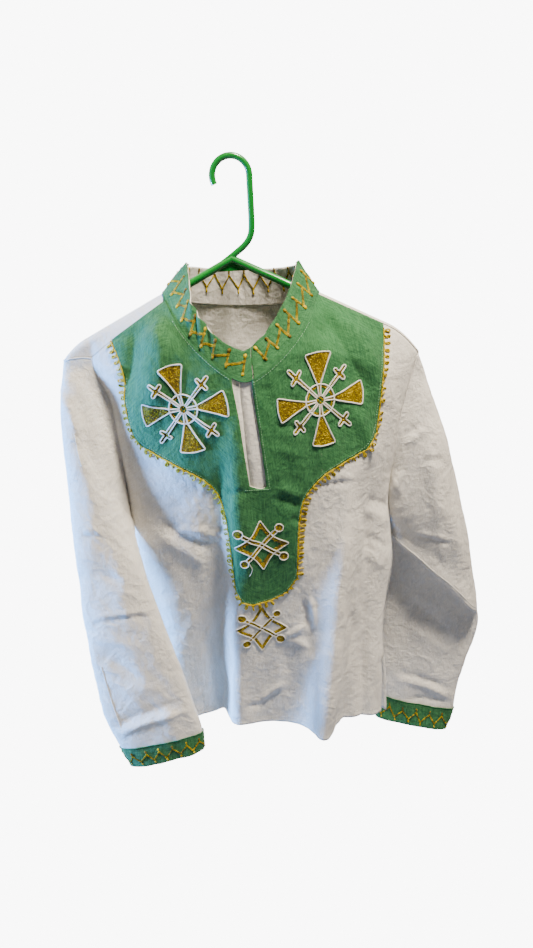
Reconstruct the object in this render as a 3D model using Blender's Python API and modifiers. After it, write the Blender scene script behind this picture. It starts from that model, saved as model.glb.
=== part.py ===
"""Habesha shirt on a tubular plastic hanger.

The origin is the inside top of the hook, where a rod carries it. +Z is up, the front faces -Y,
and the wearer's left is at +X. Heights are given as `down`, the distance below the origin.
Every cloth surface is the inside of its piece; the wall stands outward from it.
"""

import math
from typing import NamedTuple

import bmesh
import bpy
import numpy as np

COTTON_WALL = 0.0012
TRIM_WALL = 0.0010
GAP = 0.0003
YOKE_GAP = 0.0005

ROD_RADIUS = 0.0040
HOOK_RADIUS = 0.0230
HOOK_INSIDE = HOOK_RADIUS - ROD_RADIUS
ARM_RADIUS = 0.0054
ARM_SLOPE = 0.50
ARM_APEX_X = -0.0046
ARM_APEX_DOWN = 0.1184
HANGER_HALF = 0.206
BAR_DOWN = 0.2520
BEND_RADIUS = 0.016
WEB_THICKNESS = 0.003

CLOTH_OVER_ARM = 0.0070
CLEAR_OF_BAR = 0.060
SHOULDER_DOWN = ARM_APEX_DOWN - ARM_RADIUS * math.hypot(1, ARM_SLOPE) - 0.0006
TIP_START = 0.200
TIP_DROOP = 11.0
HEM_DOWN = 0.800
SLIT_FRACTION = 0.263
SLIT_LEFT = -0.060
SLIT_RIGHT = 0.052
FACING_SHARE_TOP = 0.42
FACING_SHARE_BOTTOM = 0.06
STRIP_ROWS_BELOW = 2
STRIP_TOP_ROW = 1

NECK_X = 0.004
NECK_HALF = 0.100
NECK_SIDE_DOWN = 0.160
NECK_TILT = 0.043
NECK_FRONT_DROP = 0.102
NECK_POINT = 1.35
NECK_ROUND = 0.8
NECK_BACK_DROP = 0.024
NECK_SIDE_TURN = math.radians(86)
NECK_TURN_OVER = 0.0010
SEAM_GAP = 0.0021

SLIT_ROWS = 10
LOWER_ROWS = 14
SHOULDER_COLUMNS = 8
TIP_COLUMNS = 3
OVER_ARM_ROWS = 12
BEHIND_ARM = 0.020
BACK_LOWER_ROWS = 12
FRONT_NECK_COLUMNS = 17
BACK_NECK_COLUMNS = 13
SLEEVE_SIDES = 24
YOKE_REACH = 0.30
LEFT_ARMHOLE_TOP = 0.244


class Side(NamedTuple):
    """Where the side of a panel runs: x of the wearer's right and left edge."""

    down: float
    right: float
    left: float


FRONT_SIDES = (
    Side(0.233, -0.197, 0.2351),
    Side(0.250, -0.195, 0.2325),
    Side(0.282, -0.181, 0.2235),
    Side(0.333, -0.174, 0.2095),
    Side(0.394, -0.172, 0.2017),
    Side(0.455, -0.173, 0.1965),
    Side(0.505, -0.179, 0.1990),
    Side(0.550, -0.182, 0.2010),
    Side(0.600, -0.184, 0.1930),
    Side(0.660, -0.184, 0.1860),
    Side(0.745, -0.184, 0.1885),
    Side(0.800, -0.183, 0.1860),
)
BACK_SIDES = (
    Side(0.233, -0.2345, 0.2351),
    Side(0.250, -0.2320, 0.2330),
    Side(0.282, -0.2190, 0.2235),
    Side(0.333, -0.1990, 0.2095),
    Side(0.394, -0.1810, 0.2017),
    Side(0.455, -0.1730, 0.1965),
    Side(0.505, -0.1790, 0.1990),
    Side(0.550, -0.1820, 0.2010),
    Side(0.600, -0.1840, 0.1930),
    Side(0.660, -0.1840, 0.1860),
    Side(0.745, -0.1840, 0.1900),
    Side(0.800, -0.1830, 0.1900),
)


class Level(NamedTuple):
    """The body at one height: depths of front and back, its centre line, how far its sides are forward."""

    down: float
    front: float
    back: float
    centre: float
    right_forward: float
    left_forward: float


LEVELS = (
    Level(0.160, 0.082, 0.062, 0.000, 0.000, 0.000),
    Level(0.260, 0.080, 0.060, 0.000, 0.000, 0.000),
    Level(0.330, 0.080, 0.054, 0.007, 0.000, 0.000),
    Level(0.400, 0.077, 0.050, 0.013, 0.000, 0.000),
    Level(0.490, 0.069, 0.048, 0.016, 0.000, 0.002),
    Level(0.600, 0.056, 0.046, 0.010, -0.006, 0.012),
    Level(0.700, 0.045, 0.044, 0.003, -0.011, 0.022),
    Level(0.800, 0.038, 0.042, 0.000, -0.016, 0.030),
)


class SeamDrop(NamedTuple):
    """How far below the top of the shoulder, on its front, the back panel ends."""

    x: float
    drop: float


SHOULDER_SEAM = (
    SeamDrop(-0.2345, 0.0004),
    SeamDrop(-0.2150, 0.0150),
    SeamDrop(-0.1970, 0.0265),
    SeamDrop(-0.1600, 0.0180),
    SeamDrop(-0.0955, 0.0100),
    SeamDrop(0.1035, 0.0030),
    SeamDrop(0.2351, 0.0020),
)


class Fold(NamedTuple):
    """A fold from one place to another: a ridge where height is positive, a valley where negative."""

    x0: float
    down0: float
    x1: float
    down1: float
    height0: float
    height1: float
    right_width: float
    left_width: float


FRONT_FOLDS = (
    Fold(-0.030, 0.290, -0.068, 0.830, -0.003, -0.031, 0.027, 0.016),
    Fold(-0.002, 0.300, -0.036, 0.830, 0.004, 0.006, 0.012, 0.020),
    Fold(0.138, 0.400, 0.086, 0.830, 0.003, 0.046, 0.020, 0.014),
    Fold(0.155, 0.480, 0.118, 0.830, -0.003, -0.008, 0.014, 0.022),
    Fold(-0.104, 0.165, -0.152, 0.350, 0.013, 0.006, 0.012, 0.040),
    Fold(-0.112, 0.420, -0.128, 0.830, 0.002, 0.011, 0.022, 0.022),
    Fold(0.075, 0.215, 0.180, 0.265, 0.003, 0.003, 0.014, 0.016),
    Fold(0.115, 0.190, 0.205, 0.330, 0.003, 0.005, 0.016, 0.014),
    Fold(0.165, 0.340, 0.180, 0.560, 0.006, 0.004, 0.014, 0.012),
)
BACK_FOLDS = (
    Fold(0.020, 0.260, 0.030, 0.830, 0.003, 0.016, 0.022, 0.018),
    Fold(-0.080, 0.300, -0.095, 0.830, 0.002, 0.018, 0.018, 0.024),
    Fold(0.120, 0.330, 0.105, 0.830, 0.003, 0.020, 0.020, 0.016),
    Fold(-0.030, 0.360, -0.040, 0.830, -0.002, -0.010, 0.020, 0.018),
    Fold(0.070, 0.360, 0.066, 0.830, -0.002, -0.010, 0.018, 0.018),
)


class CollarStation(NamedTuple):
    """The collar round the neck: degrees from the front centre toward the wearer's left."""

    angle: float
    lean: float
    rise: float


COLLAR = (
    CollarStation(-180, 0.004, 0.049),
    CollarStation(-135, 0.014, 0.046),
    CollarStation(-90, 0.034, 0.036),
    CollarStation(-60, 0.027, 0.037),
    CollarStation(-38, 0.010, 0.040),
    CollarStation(-20, 0.006, 0.036),
    CollarStation(0, 0.012, 0.037),
    CollarStation(30, 0.022, 0.037),
    CollarStation(60, 0.026, 0.037),
    CollarStation(90, 0.026, 0.040),
    CollarStation(135, 0.013, 0.046),
    CollarStation(180, 0.004, 0.049),
)
COLLAR_OPEN_ANGLE = 6.2
COLLAR_COLUMNS = 40
COLLAR_ROWS = 3
COLLAR_INSET = 0.0029
COLLAR_LIFT = 0.0016


class SleeveRing(NamedTuple):
    """One section of a sleeve: its outer and inner edge, and how far it stands forward and back."""

    outer_x: float
    outer_y: float
    outer_down: float
    inner_x: float
    inner_y: float
    inner_down: float
    forward: float
    backward: float


RIGHT_SLEEVE = (
    SleeveRing(-0.2440, -0.002, 0.275, -0.1770, -0.004, 0.463, 0.034, 0.010),
    SleeveRing(-0.2475, -0.010, 0.335, -0.1720, -0.016, 0.474, 0.034, 0.010),
    SleeveRing(-0.2470, -0.022, 0.400, -0.1640, -0.031, 0.490, 0.028, 0.012),
    SleeveRing(-0.2465, -0.036, 0.470, -0.1560, -0.046, 0.515, 0.022, 0.012),
    SleeveRing(-0.2455, -0.048, 0.540, -0.1450, -0.060, 0.558, 0.018, 0.012),
    SleeveRing(-0.2430, -0.058, 0.610, -0.1300, -0.070, 0.612, 0.016, 0.012),
    SleeveRing(-0.2380, -0.066, 0.680, -0.1120, -0.078, 0.672, 0.015, 0.012),
    SleeveRing(-0.2300, -0.074, 0.748, -0.0985, -0.086, 0.730, 0.014, 0.011),
    SleeveRing(-0.2105, -0.080, 0.800, -0.0885, -0.090, 0.772, 0.012, 0.010),
    SleeveRing(-0.1995, -0.080, 0.835, -0.0895, -0.090, 0.803, 0.012, 0.010),
)
LEFT_SLEEVE = (
    SleeveRing(0.2520, 0.000, 0.300, 0.2035, 0.004, 0.468, 0.022, 0.014),
    SleeveRing(0.2760, 0.002, 0.374, 0.2070, 0.008, 0.478, 0.028, 0.016),
    SleeveRing(0.2940, 0.004, 0.450, 0.2090, 0.011, 0.484, 0.030, 0.016),
    SleeveRing(0.3130, 0.006, 0.527, 0.2105, 0.014, 0.490, 0.029, 0.016),
    SleeveRing(0.3240, 0.008, 0.590, 0.2110, 0.017, 0.496, 0.027, 0.016),
    SleeveRing(0.3330, 0.011, 0.640, 0.2115, 0.020, 0.503, 0.024, 0.015),
    SleeveRing(0.3380, 0.016, 0.676, 0.2110, 0.026, 0.530, 0.016, 0.014),
    SleeveRing(0.3335, 0.020, 0.715, 0.2050, 0.032, 0.590, 0.012, 0.013),
    SleeveRing(0.3225, 0.022, 0.752, 0.1970, 0.035, 0.660, 0.012, 0.012),
    SleeveRing(0.3130, 0.022, 0.792, 0.1920, 0.036, 0.730, 0.011, 0.011),
    SleeveRing(0.3060, 0.022, 0.840, 0.1885, 0.036, 0.815, 0.010, 0.010),
    SleeveRing(0.2960, 0.022, 0.880, 0.1865, 0.034, 0.858, 0.010, 0.010),
)
RIGHT_RINGS = 15
LEFT_RINGS = 19
ELBOW_RING = 6.0
ELBOW_LIP = 0.012
ELBOW_TUCK = 0.014
RIGHT_ARMPIT_DOWN = 0.455
LEFT_ARMPIT_DOWN = 0.454
NEAR_ARMHOLE = ((0.22, 0.04), (0.60, 0.55))
CUFF_STEPS = 2


class Corner(NamedTuple):
    """One corner of an outline or path seen from the front."""

    x: float
    down: float


HOOK_END_DEGREES = 205
STEM_PATH = (
    Corner(0.0230, 0.0480),
    Corner(0.0230, 0.0800),
    Corner(0.0208, 0.0920),
    Corner(0.0140, 0.1015),
    Corner(0.0050, 0.1085),
    Corner(-0.0080, 0.1178),
    Corner(-0.0240, 0.1281),
)
WEB_CORNERS = (
    Corner(-0.0330, 0.1335),
    Corner(-0.0046, 0.1200),
    Corner(0.0240, 0.1335),
)
YOKE_OUTLINE = (
    Corner(-0.170, 0.150),
    Corner(-0.168, 0.205),
    Corner(-0.158, 0.230),
    Corner(-0.152, 0.262),
    Corner(-0.156, 0.284),
    Corner(-0.153, 0.314),
    Corner(-0.145, 0.345),
    Corner(-0.121, 0.357),
    Corner(-0.096, 0.370),
    Corner(-0.062, 0.388),
    Corner(-0.044, 0.406),
    Corner(-0.034, 0.432),
    Corner(-0.030, 0.462),
    Corner(-0.028, 0.516),
    Corner(-0.025, 0.573),
    Corner(0.003, 0.587),
    Corner(0.059, 0.560),
    Corner(0.062, 0.499),
    Corner(0.066, 0.448),
    Corner(0.074, 0.420),
    Corner(0.095, 0.397),
    Corner(0.122, 0.381),
    Corner(0.171, 0.362),
    Corner(0.179, 0.303),
    Corner(0.186, 0.240),
    Corner(0.191, 0.150),
)


class Finish(NamedTuple):
    """A material: its colour, roughness and metallic value."""

    name: str
    colour: tuple
    roughness: float
    metallic: float


COTTON = Finish("white cotton", (0.80, 0.77, 0.72), 0.92, 0.0)
GREEN = Finish("green chambray", (0.05, 0.27, 0.13), 0.90, 0.0)
PLASTIC = Finish("green plastic", (0.01, 0.30, 0.04), 0.28, 0.0)


def curve(rows, key, value, at):
    """The named value on a smooth curve through the rows, at each given key."""
    keys = np.array([getattr(row, key) for row in rows])
    values = np.array([getattr(row, value) for row in rows])
    slopes = np.gradient(values, keys)
    at = np.clip(at, keys[0], keys[-1])
    i = np.clip(np.searchsorted(keys, at) - 1, 0, len(keys) - 2)
    step = keys[i + 1] - keys[i]
    u = (at - keys[i]) / step
    bend = u * (1 - u) * step
    line = values[i] * (1 - u) + values[i + 1] * u
    rise = (values[i + 1] - values[i]) / step
    return line + bend * ((slopes[i] - rise) * (1 - u) - (slopes[i + 1] - rise) * u)


def shoulder_top(x):
    """Height of the cloth's inside where it lies on the hanger's arms."""
    reach = np.abs(x - ARM_APEX_X)
    beyond = np.maximum(reach - TIP_START, 0)
    return -(SHOULDER_DOWN + ARM_SLOPE * reach + TIP_DROOP * beyond**2)


def drop_at(path):
    """Drop below the shoulder's top after a length of path over the arm's round."""
    round_part = np.minimum(np.abs(path), CLOTH_OVER_ARM * math.pi / 2)
    straight = np.abs(path) - round_part
    return CLOTH_OVER_ARM * (1 - np.cos(round_part / CLOTH_OVER_ARM)) + straight


def path_at(drop):
    """The length of path over the arm's round that gives this drop."""
    round_part = np.minimum(drop, CLOTH_OVER_ARM)
    return CLOTH_OVER_ARM * np.arccos(1 - round_part / CLOTH_OVER_ARM) + drop - round_part


def fold_height(folds, x, z):
    """Height of all folds at each place, faded in at their upper end."""
    total = np.zeros_like(x)
    for fold in folds:
        run, fall = fold.x1 - fold.x0, fold.down1 - fold.down0
        length = math.hypot(run, fall)
        along = ((x - fold.x0) * run + (-z - fold.down0) * fall) / length**2
        across = ((x - fold.x0) * fall - (-z - fold.down0) * run) / length
        width = np.where(across < 0, fold.right_width, fold.left_width)
        reach = np.clip(along / 0.25, 0, 1) * np.clip((1 - along) / 0.25, 0, 1)
        if fold.down1 > HEM_DOWN:
            reach = np.clip(along / 0.25, 0, 1)
        fade = reach * reach * (3 - 2 * reach)
        height = fold.height0 + (fold.height1 - fold.height0) * np.clip(along, 0, 1)
        total += height * fade * np.exp(-((across / width) ** 2))
    return total


def depth(x, z, front):
    """y of a panel's inside at a place seen from the front."""
    sides = FRONT_SIDES if front else BACK_SIDES
    down = -z
    middle = curve(LEVELS, "down", "centre", down)
    left = curve(sides, "down", "left", down)
    right = curve(sides, "down", "right", down)
    share = np.where(x > middle, (x - middle) / (left - middle), (middle - x) / (middle - right))
    share = np.clip(share, 0, 1)
    forward = np.where(
        x > 0,
        curve(LEVELS, "down", "left_forward", down),
        curve(LEVELS, "down", "right_forward", down),
    )
    drop = np.maximum(shoulder_top(x) - z, 0)
    swell = curve(LEVELS, "down", "front" if front else "back", down)
    swell = swell * (1 - share**2.2) ** 0.75 * (1 - np.exp(-drop / 0.055))
    on_arm = np.minimum(drop, CLOTH_OVER_ARM)
    arm = np.sqrt(np.maximum(2 * CLOTH_OVER_ARM * on_arm - on_arm**2, 0))
    arm = arm * np.exp(-np.maximum(drop - CLEAR_OF_BAR, 0) / 0.08)
    height = np.clip((down - 0.25) / (RIGHT_ARMPIT_DOWN - 0.25), 0, 1)
    armhole = 0.010 * np.sin(math.pi * height) ** 2 * share**4
    away = arm + swell + armhole + GAP / 2
    away = away + fold_height(FRONT_FOLDS if front else BACK_FOLDS, x, z) * (1 - share**6)
    away = np.maximum(away, GAP / 2)
    return -forward * share - away if front else -forward * share + away


def neck_height(x, front):
    """Height of the neckline."""
    across = np.abs(np.clip((x - NECK_X) / NECK_HALF, -1, 1))
    side = -(NECK_SIDE_DOWN + NECK_TILT * (x - NECK_X))
    if front:
        return side - NECK_FRONT_DROP * (1 - across**NECK_POINT) ** NECK_ROUND
    return side - NECK_BACK_DROP * np.sqrt(1 - across**2)


def seam_path(x):
    """Path from the shoulder's top, on the front, to the shoulder seam."""
    return path_at(np.interp(x, [row.x for row in SHOULDER_SEAM], [row.drop for row in SHOULDER_SEAM]))


def top_columns(neck_columns):
    """Where the columns start along the neck and the shoulder seams: x, closer together beside the neck."""
    turn = np.linspace(-NECK_SIDE_TURN, NECK_SIDE_TURN, neck_columns)
    neck = NECK_X + NECK_HALF * np.sin(turn)
    graded = (np.arange(1, SHOULDER_COLUMNS + 1) / SHOULDER_COLUMNS) ** 1.25
    right = neck[0] + (FRONT_SIDES[0].right - neck[0]) * graded
    left = neck[-1] + (FRONT_SIDES[0].left - neck[-1]) * graded
    return np.concatenate([right[::-1], neck, left])


def front_shares():
    """Columns of the front as shares from -1 (wearer's right edge) to 1, two of them the slit's edges."""
    x = top_columns(FRONT_NECK_COLUMNS)
    shares = np.where(x < 0, x / -FRONT_SIDES[0].right, x / FRONT_SIDES[0].left)
    shares = shares[np.abs(shares) > max(-SLIT_LEFT, SLIT_RIGHT) + 0.03]
    return np.sort(np.concatenate([shares, [SLIT_LEFT, SLIT_RIGHT]]))


def back_shares():
    """Columns of the back, which reaches further over the wearer's right shoulder than the front."""
    tip = np.linspace(BACK_SIDES[0].right, FRONT_SIDES[0].right, TIP_COLUMNS + 1)[:-1]
    edge = NECK_HALF * math.sin(NECK_SIDE_TURN) - NECK_TURN_OVER * np.arange(1, 5) / 4
    beside_neck = np.concatenate([NECK_X - edge, NECK_X + edge])
    x = np.sort(np.concatenate([tip, top_columns(BACK_NECK_COLUMNS), beside_neck]))
    return np.where(x < 0, x / -BACK_SIDES[0].right, x / BACK_SIDES[0].left)


def front_rows():
    """Fractions of the way from the top edge to the hem, closer together at the shoulder."""
    upper = SLIT_FRACTION * (np.arange(SLIT_ROWS) / SLIT_ROWS) ** 1.9
    lower = SLIT_FRACTION + (1 - SLIT_FRACTION) * np.arange(LOWER_ROWS + 1) / LOWER_ROWS
    return np.concatenate([upper, lower])


def front_surface(shares, rows):
    """Points of the front panel's inside, a row for each fraction of the way down."""
    share, row = np.meshgrid(shares, rows)
    top_x = np.where(share < 0, share * -FRONT_SIDES[0].right, share * FRONT_SIDES[0].left)
    seam = seam_path(top_x) + GAP / 2
    neck = path_at(np.maximum(shoulder_top(top_x) - neck_height(top_x, True), 0))
    start = np.where(np.abs(top_x - NECK_X) < NECK_HALF * 0.999, np.maximum(neck, seam), seam)
    path = start + (path_at(HEM_DOWN + shoulder_top(top_x)) - start) * row
    z = shoulder_top(top_x) - drop_at(path)
    edge_top = np.where(share < 0, FRONT_SIDES[0].down, LEFT_ARMHOLE_TOP)
    edge = edge_top + (HEM_DOWN - edge_top) * row
    middle = curve(LEVELS, "down", "centre", -z)
    side = np.where(
        share < 0,
        share * -curve(FRONT_SIDES, "down", "right", edge),
        share * curve(FRONT_SIDES, "down", "left", edge),
    )
    x = side + middle * (1 - share**2)
    return np.stack([x, depth(x, z, True), z], axis=-1)


def back_start(x):
    """Path of the back panel's upper edge: before the arm at the shoulders, behind it at the neck."""
    inside = (NECK_HALF * math.sin(NECK_SIDE_TURN) - abs(x - NECK_X)) / NECK_TURN_OVER
    share = min(max(inside, 0), 1)
    seam = GAP / 2 - float(seam_path(np.array(x)))
    drop = np.maximum(shoulder_top(x) - neck_height(x, False), 0)
    return seam * (1 - share) + float(path_at(drop)) * share


def back_surface(shares):
    """Points of the back panel's inside, from its front edge over the arms to the hem."""
    below = (np.arange(1, BACK_LOWER_ROWS + 1) / BACK_LOWER_ROWS) ** 1.1
    columns = []
    for share in shares:
        top_x = share * -BACK_SIDES[0].right if share < 0 else share * BACK_SIDES[0].left
        start = back_start(top_x)
        turn = max(start, 0) + BEHIND_ARM
        upper = np.linspace(start, turn, OVER_ARM_ROWS + 1)
        end = float(path_at(HEM_DOWN + shoulder_top(top_x)))
        path = np.concatenate([upper, turn + (end - turn) * below])
        z = shoulder_top(top_x) - drop_at(path)
        reach = np.clip((path - turn) / (end - turn), 0, 1)
        edge = BACK_SIDES[0].down + 0.008 + (HEM_DOWN - BACK_SIDES[0].down - 0.008) * reach
        name = "right" if share < 0 else "left"
        side = abs(share) * curve(BACK_SIDES, "down", name, edge)
        x = side + curve(LEVELS, "down", "centre", -z) * (1 - share**2)
        x = np.where(path <= turn, top_x, x)
        y = np.where(path < 0, depth(x, z, True), depth(x, z, False))
        columns.append(np.stack([x, y, z], axis=-1))
    return np.stack(columns, axis=1)


def armhole_chain(points, count, flip):
    """Points at even lengths along an edge."""
    points = points[::-1] if flip else points
    steps = np.linalg.norm(np.diff(points, axis=0), axis=1)
    length = np.concatenate([[0], np.cumsum(steps)])
    at = np.linspace(0, length[-1], count)
    return np.stack([np.interp(at, length, points[:, axis]) for axis in range(3)], axis=-1)


def armhole_ring(left):
    """The armhole from the shoulder's tip down the front to the armpit and up the back."""
    column = -1 if left else 0
    front = front_surface(np.array([-1.0, 1.0]), np.linspace(0, 1, 160))[:, column]
    back_all = back_surface(np.linspace(-1, 1, 161))
    back = back_all[:, column]
    armpit = LEFT_ARMPIT_DOWN if left else RIGHT_ARMPIT_DOWN
    front = front[-front[:, 2] < armpit]
    behind = back[(-back[:, 2] < armpit) & (np.arange(len(back)) > 2)]
    low = np.array([[front[-1, 0], 0.0, -armpit]])
    half = SLEEVE_SIDES // 2
    front = np.concatenate([front, low])
    fore = armhole_chain(front, half + 1, False)
    if not left:
        edge = back_all[0]
        wrapped = edge[edge[:, 0] < front[0, 0] + 0.0001]
        over_tip = armhole_chain(wrapped, TIP_COLUMNS + 1, False)
        fore = np.concatenate([over_tip[:-1], armhole_chain(front, half + 1 - TIP_COLUMNS, False)])
    aft = armhole_chain(np.concatenate([behind, low]), half + 1, True)
    return np.concatenate([fore[:-1], aft[:-1]])


def ring_points(ring):
    """A sleeve section: an oval between its outer and inner edge."""
    angle = 2 * math.pi * np.arange(SLEEVE_SIDES) / SLEEVE_SIDES
    outer = np.array([ring.outer_x, ring.outer_y, -ring.outer_down])
    inner = np.array([ring.inner_x, ring.inner_y, -ring.inner_down])
    across = (1 - np.cos(angle)) / 2
    reach = np.abs(np.sin(angle)) ** 0.85
    away = np.where(np.sin(angle) > 0, -ring.forward * reach, ring.backward * reach)
    points = outer + across[:, None] * (inner - outer)
    points[:, 1] += away
    return points


def sleeve_stations(rings, count):
    """Where the sections lie along a sleeve; the last steps divide the cuff."""
    cuff = len(rings) - 2
    steps = cuff + np.arange(1, CUFF_STEPS + 1) / CUFF_STEPS
    return np.concatenate([np.linspace(0, cuff, count - CUFF_STEPS), steps])


def sleeve_surface(rings, left, count):
    """Points of a sleeve's inside, a row for each section from the armhole to the cuff."""
    start = armhole_ring(left)
    first = ring_points(rings[0])
    start[:, 0] += SEAM_GAP if left else -SEAM_GAP
    if not left:
        start[: TIP_COLUMNS + 1, 2] -= SEAM_GAP
    rows = [start]
    for along, away in NEAR_ARMHOLE:
        rows.append(start + (first - start) * np.array([along, away, along]))
    for at in sleeve_stations(rings, count):
        values = [
            curve([Numbered(i, ring[axis]) for i, ring in enumerate(rings)], "at", "value", at)
            for axis in range(len(SleeveRing._fields))
        ]
        rows.append(ring_points(SleeveRing(*values)))
    return np.stack(rows)


class Numbered(NamedTuple):
    """A value at a station along a sleeve."""

    at: float
    value: float


def elbow_fold(rows, count):
    """Tucks the wearer's left forearm behind the lower edge of the upper arm."""
    angle = 2 * math.pi * np.arange(SLEEVE_SIDES) / SLEEVE_SIDES
    weight = np.clip(np.sin(angle) * 1.6, 0, 1)
    station = np.concatenate([[-3, -2, -1], sleeve_stations(LEFT_SLEEVE, count)])
    for row, at in zip(rows, station):
        behind = at - ELBOW_RING
        lip = math.exp(-((behind + 0.15) ** 2) / 0.30)
        tuck = math.exp(-((behind - 1.0) ** 2) / 0.60)
        row[:, 1] += weight * (ELBOW_TUCK * tuck - 0.5 * ELBOW_LIP * lip)
        row[:, 2] -= weight * ELBOW_LIP * lip
    return rows


def lattice(name, points, closed=False, skip=None):
    """A mesh of paired triangles over rows of points; columns run clockwise seen from outside."""
    rows, columns = points.shape[:2]
    mesh = bpy.data.meshes.new(name)
    shape = bmesh.new()
    vertices = [shape.verts.new(point) for point in points.reshape(-1, 3)]
    for row in range(rows - 1):
        for column in range(columns if closed else columns - 1):
            if skip and skip(row, column):
                continue
            after = (column + 1) % columns
            near, far = row * columns + column, row * columns + after
            shape.faces.new([vertices[i] for i in (near, near + columns, far)])
            shape.faces.new([vertices[i] for i in (near + columns, far + columns, far)])
    for vertex in [vertex for vertex in shape.verts if not vertex.link_faces]:
        shape.verts.remove(vertex)
    shape.normal_update()
    shape.to_mesh(mesh)
    shape.free()
    return bpy.data.objects.new(name, mesh)


def normals_of(points, closed=False):
    """The outward normal at each point of a lattice, as Blender gives it."""
    helper = lattice("normals", points, closed)
    normals = np.array([vertex.normal for vertex in helper.data.vertices]).reshape(points.shape)
    mesh = helper.data
    bpy.data.objects.remove(helper)
    bpy.data.meshes.remove(mesh)
    return normals


def material(finish):
    """A Principled material with this finish."""
    made = bpy.data.materials.new(finish.name)
    made.use_nodes = True
    shader = made.node_tree.nodes["Principled BSDF"]
    shader.inputs["Base Color"].default_value = (*finish.colour, 1)
    shader.inputs["Roughness"].default_value = finish.roughness
    shader.inputs["Metallic"].default_value = finish.metallic
    return made


def place(made, collection, finish):
    """Puts an object in a collection with its own material."""
    collection.objects.link(made)
    made.data.materials.append(material(finish))
    made.data.shade_smooth()
    return made


def add_wall(made, thickness, facing):
    """A wall that stands outward from the surface."""
    wall = made.modifiers.new("wall", "SOLIDIFY")
    wall.thickness = thickness
    wall.offset = facing
    return made


def flip(points):
    """The same lattice with its columns the other way round, which turns its faces over."""
    return points[:, ::-1]


def build_front(collection):
    """The front panel, its yoke, and the strips behind the slit; returns the panel's points."""
    shares = front_shares()
    points = front_surface(shares, front_rows())
    slit_column = int(np.argmin(np.abs(shares - SLIT_LEFT)))

    def in_slit(row, column):
        return row < SLIT_ROWS and column == slit_column

    panel = place(lattice("front_panel", points, skip=in_slit), collection, COTTON)
    add_wall(panel, COTTON_WALL, 1)

    out = normals_of(points)
    yoke_points = points + out * (COTTON_WALL + YOKE_GAP)
    yoke = place(lattice("yoke", yoke_points, skip=in_slit), collection, GREEN)
    add_wall(yoke, TRIM_WALL, 1)
    trim = yoke.modifiers.new("outline", "BOOLEAN")
    trim.operation = "INTERSECT"
    trim.object = yoke_cutter()

    build_slit_strips(collection, points, out, slit_column)
    return points


def yoke_cutter():
    """A prism of the yoke's outline that runs from front to back."""
    outline = bpy.data.curves.new("yoke_outline", "CURVE")
    outline.dimensions = "2D"
    outline.fill_mode = "BOTH"
    outline.extrude = YOKE_REACH / 2
    spline = outline.splines.new("POLY")
    spline.points.add(len(YOKE_OUTLINE) - 1)
    for point, corner in zip(spline.points, YOKE_OUTLINE):
        point.co = (corner.x, -corner.down, 0, 1)
    spline.use_cyclic_u = True
    upright = bpy.data.objects.new("yoke_outline", outline)
    upright.rotation_euler = (math.pi / 2, 0, 0)
    helpers = bpy.data.collections.new("cutters")
    bpy.context.scene.collection.children.link(helpers)
    cutter = meshed(upright, helpers)
    cutter.hide_render = True
    cutter.display_type = "WIRE"
    return cutter


def meshed(curved, collection):
    """A mesh object in place of a curve object, its caps welded."""
    collection.objects.link(curved)
    bpy.context.view_layer.update()
    graph = bpy.context.evaluated_depsgraph_get()
    mesh = bpy.data.meshes.new_from_object(curved.evaluated_get(graph))
    shape = bmesh.new()
    shape.from_mesh(mesh)
    bmesh.ops.remove_doubles(shape, verts=shape.verts, dist=0.00001)
    bmesh.ops.recalc_face_normals(shape, faces=shape.faces)
    shape.to_mesh(mesh)
    shape.free()
    made = bpy.data.objects.new(curved.name, mesh)
    made.matrix_world = curved.matrix_world.copy()
    collection.objects.link(made)
    name = curved.name
    bpy.data.objects.remove(curved)
    made.name = name
    return made


def build_slit_strips(collection, points, out, slit_column):
    """The narrow facing on the wearer's right of the slit and the underlap behind the rest."""
    behind = points - out * GAP
    last = SLIT_ROWS + STRIP_ROWS_BELOW
    right_of, edge, other_edge = slit_column - 1, slit_column, slit_column + 1
    rows = np.arange(last)
    share = np.clip(rows / SLIT_ROWS, 0, 1)[:, None]
    facing_edge = FACING_SHARE_TOP + (FACING_SHARE_BOTTOM - FACING_SHARE_TOP) * share
    line = behind[:last, edge] + facing_edge * (behind[:last, other_edge] - behind[:last, edge])
    near = line - np.array([GAP, 0, 0])
    far = line + np.array([GAP, 0, 0])
    facing = np.stack([behind[:last, right_of], behind[:last, edge], near], axis=1)
    underlap = np.stack([far, behind[:last, other_edge], behind[:last, other_edge + 1]], axis=1)
    for name, strip in (("slit_facing", facing), ("slit_underlap", underlap)):
        made = place(lattice(name, strip[STRIP_TOP_ROW:]), collection, COTTON)
        add_wall(made, TRIM_WALL, -1)


def build_back(collection):
    """The back panel."""
    points = flip(back_surface(back_shares()))
    panel = place(lattice("back_panel", points), collection, COTTON)
    add_wall(panel, COTTON_WALL, 1)


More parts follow.
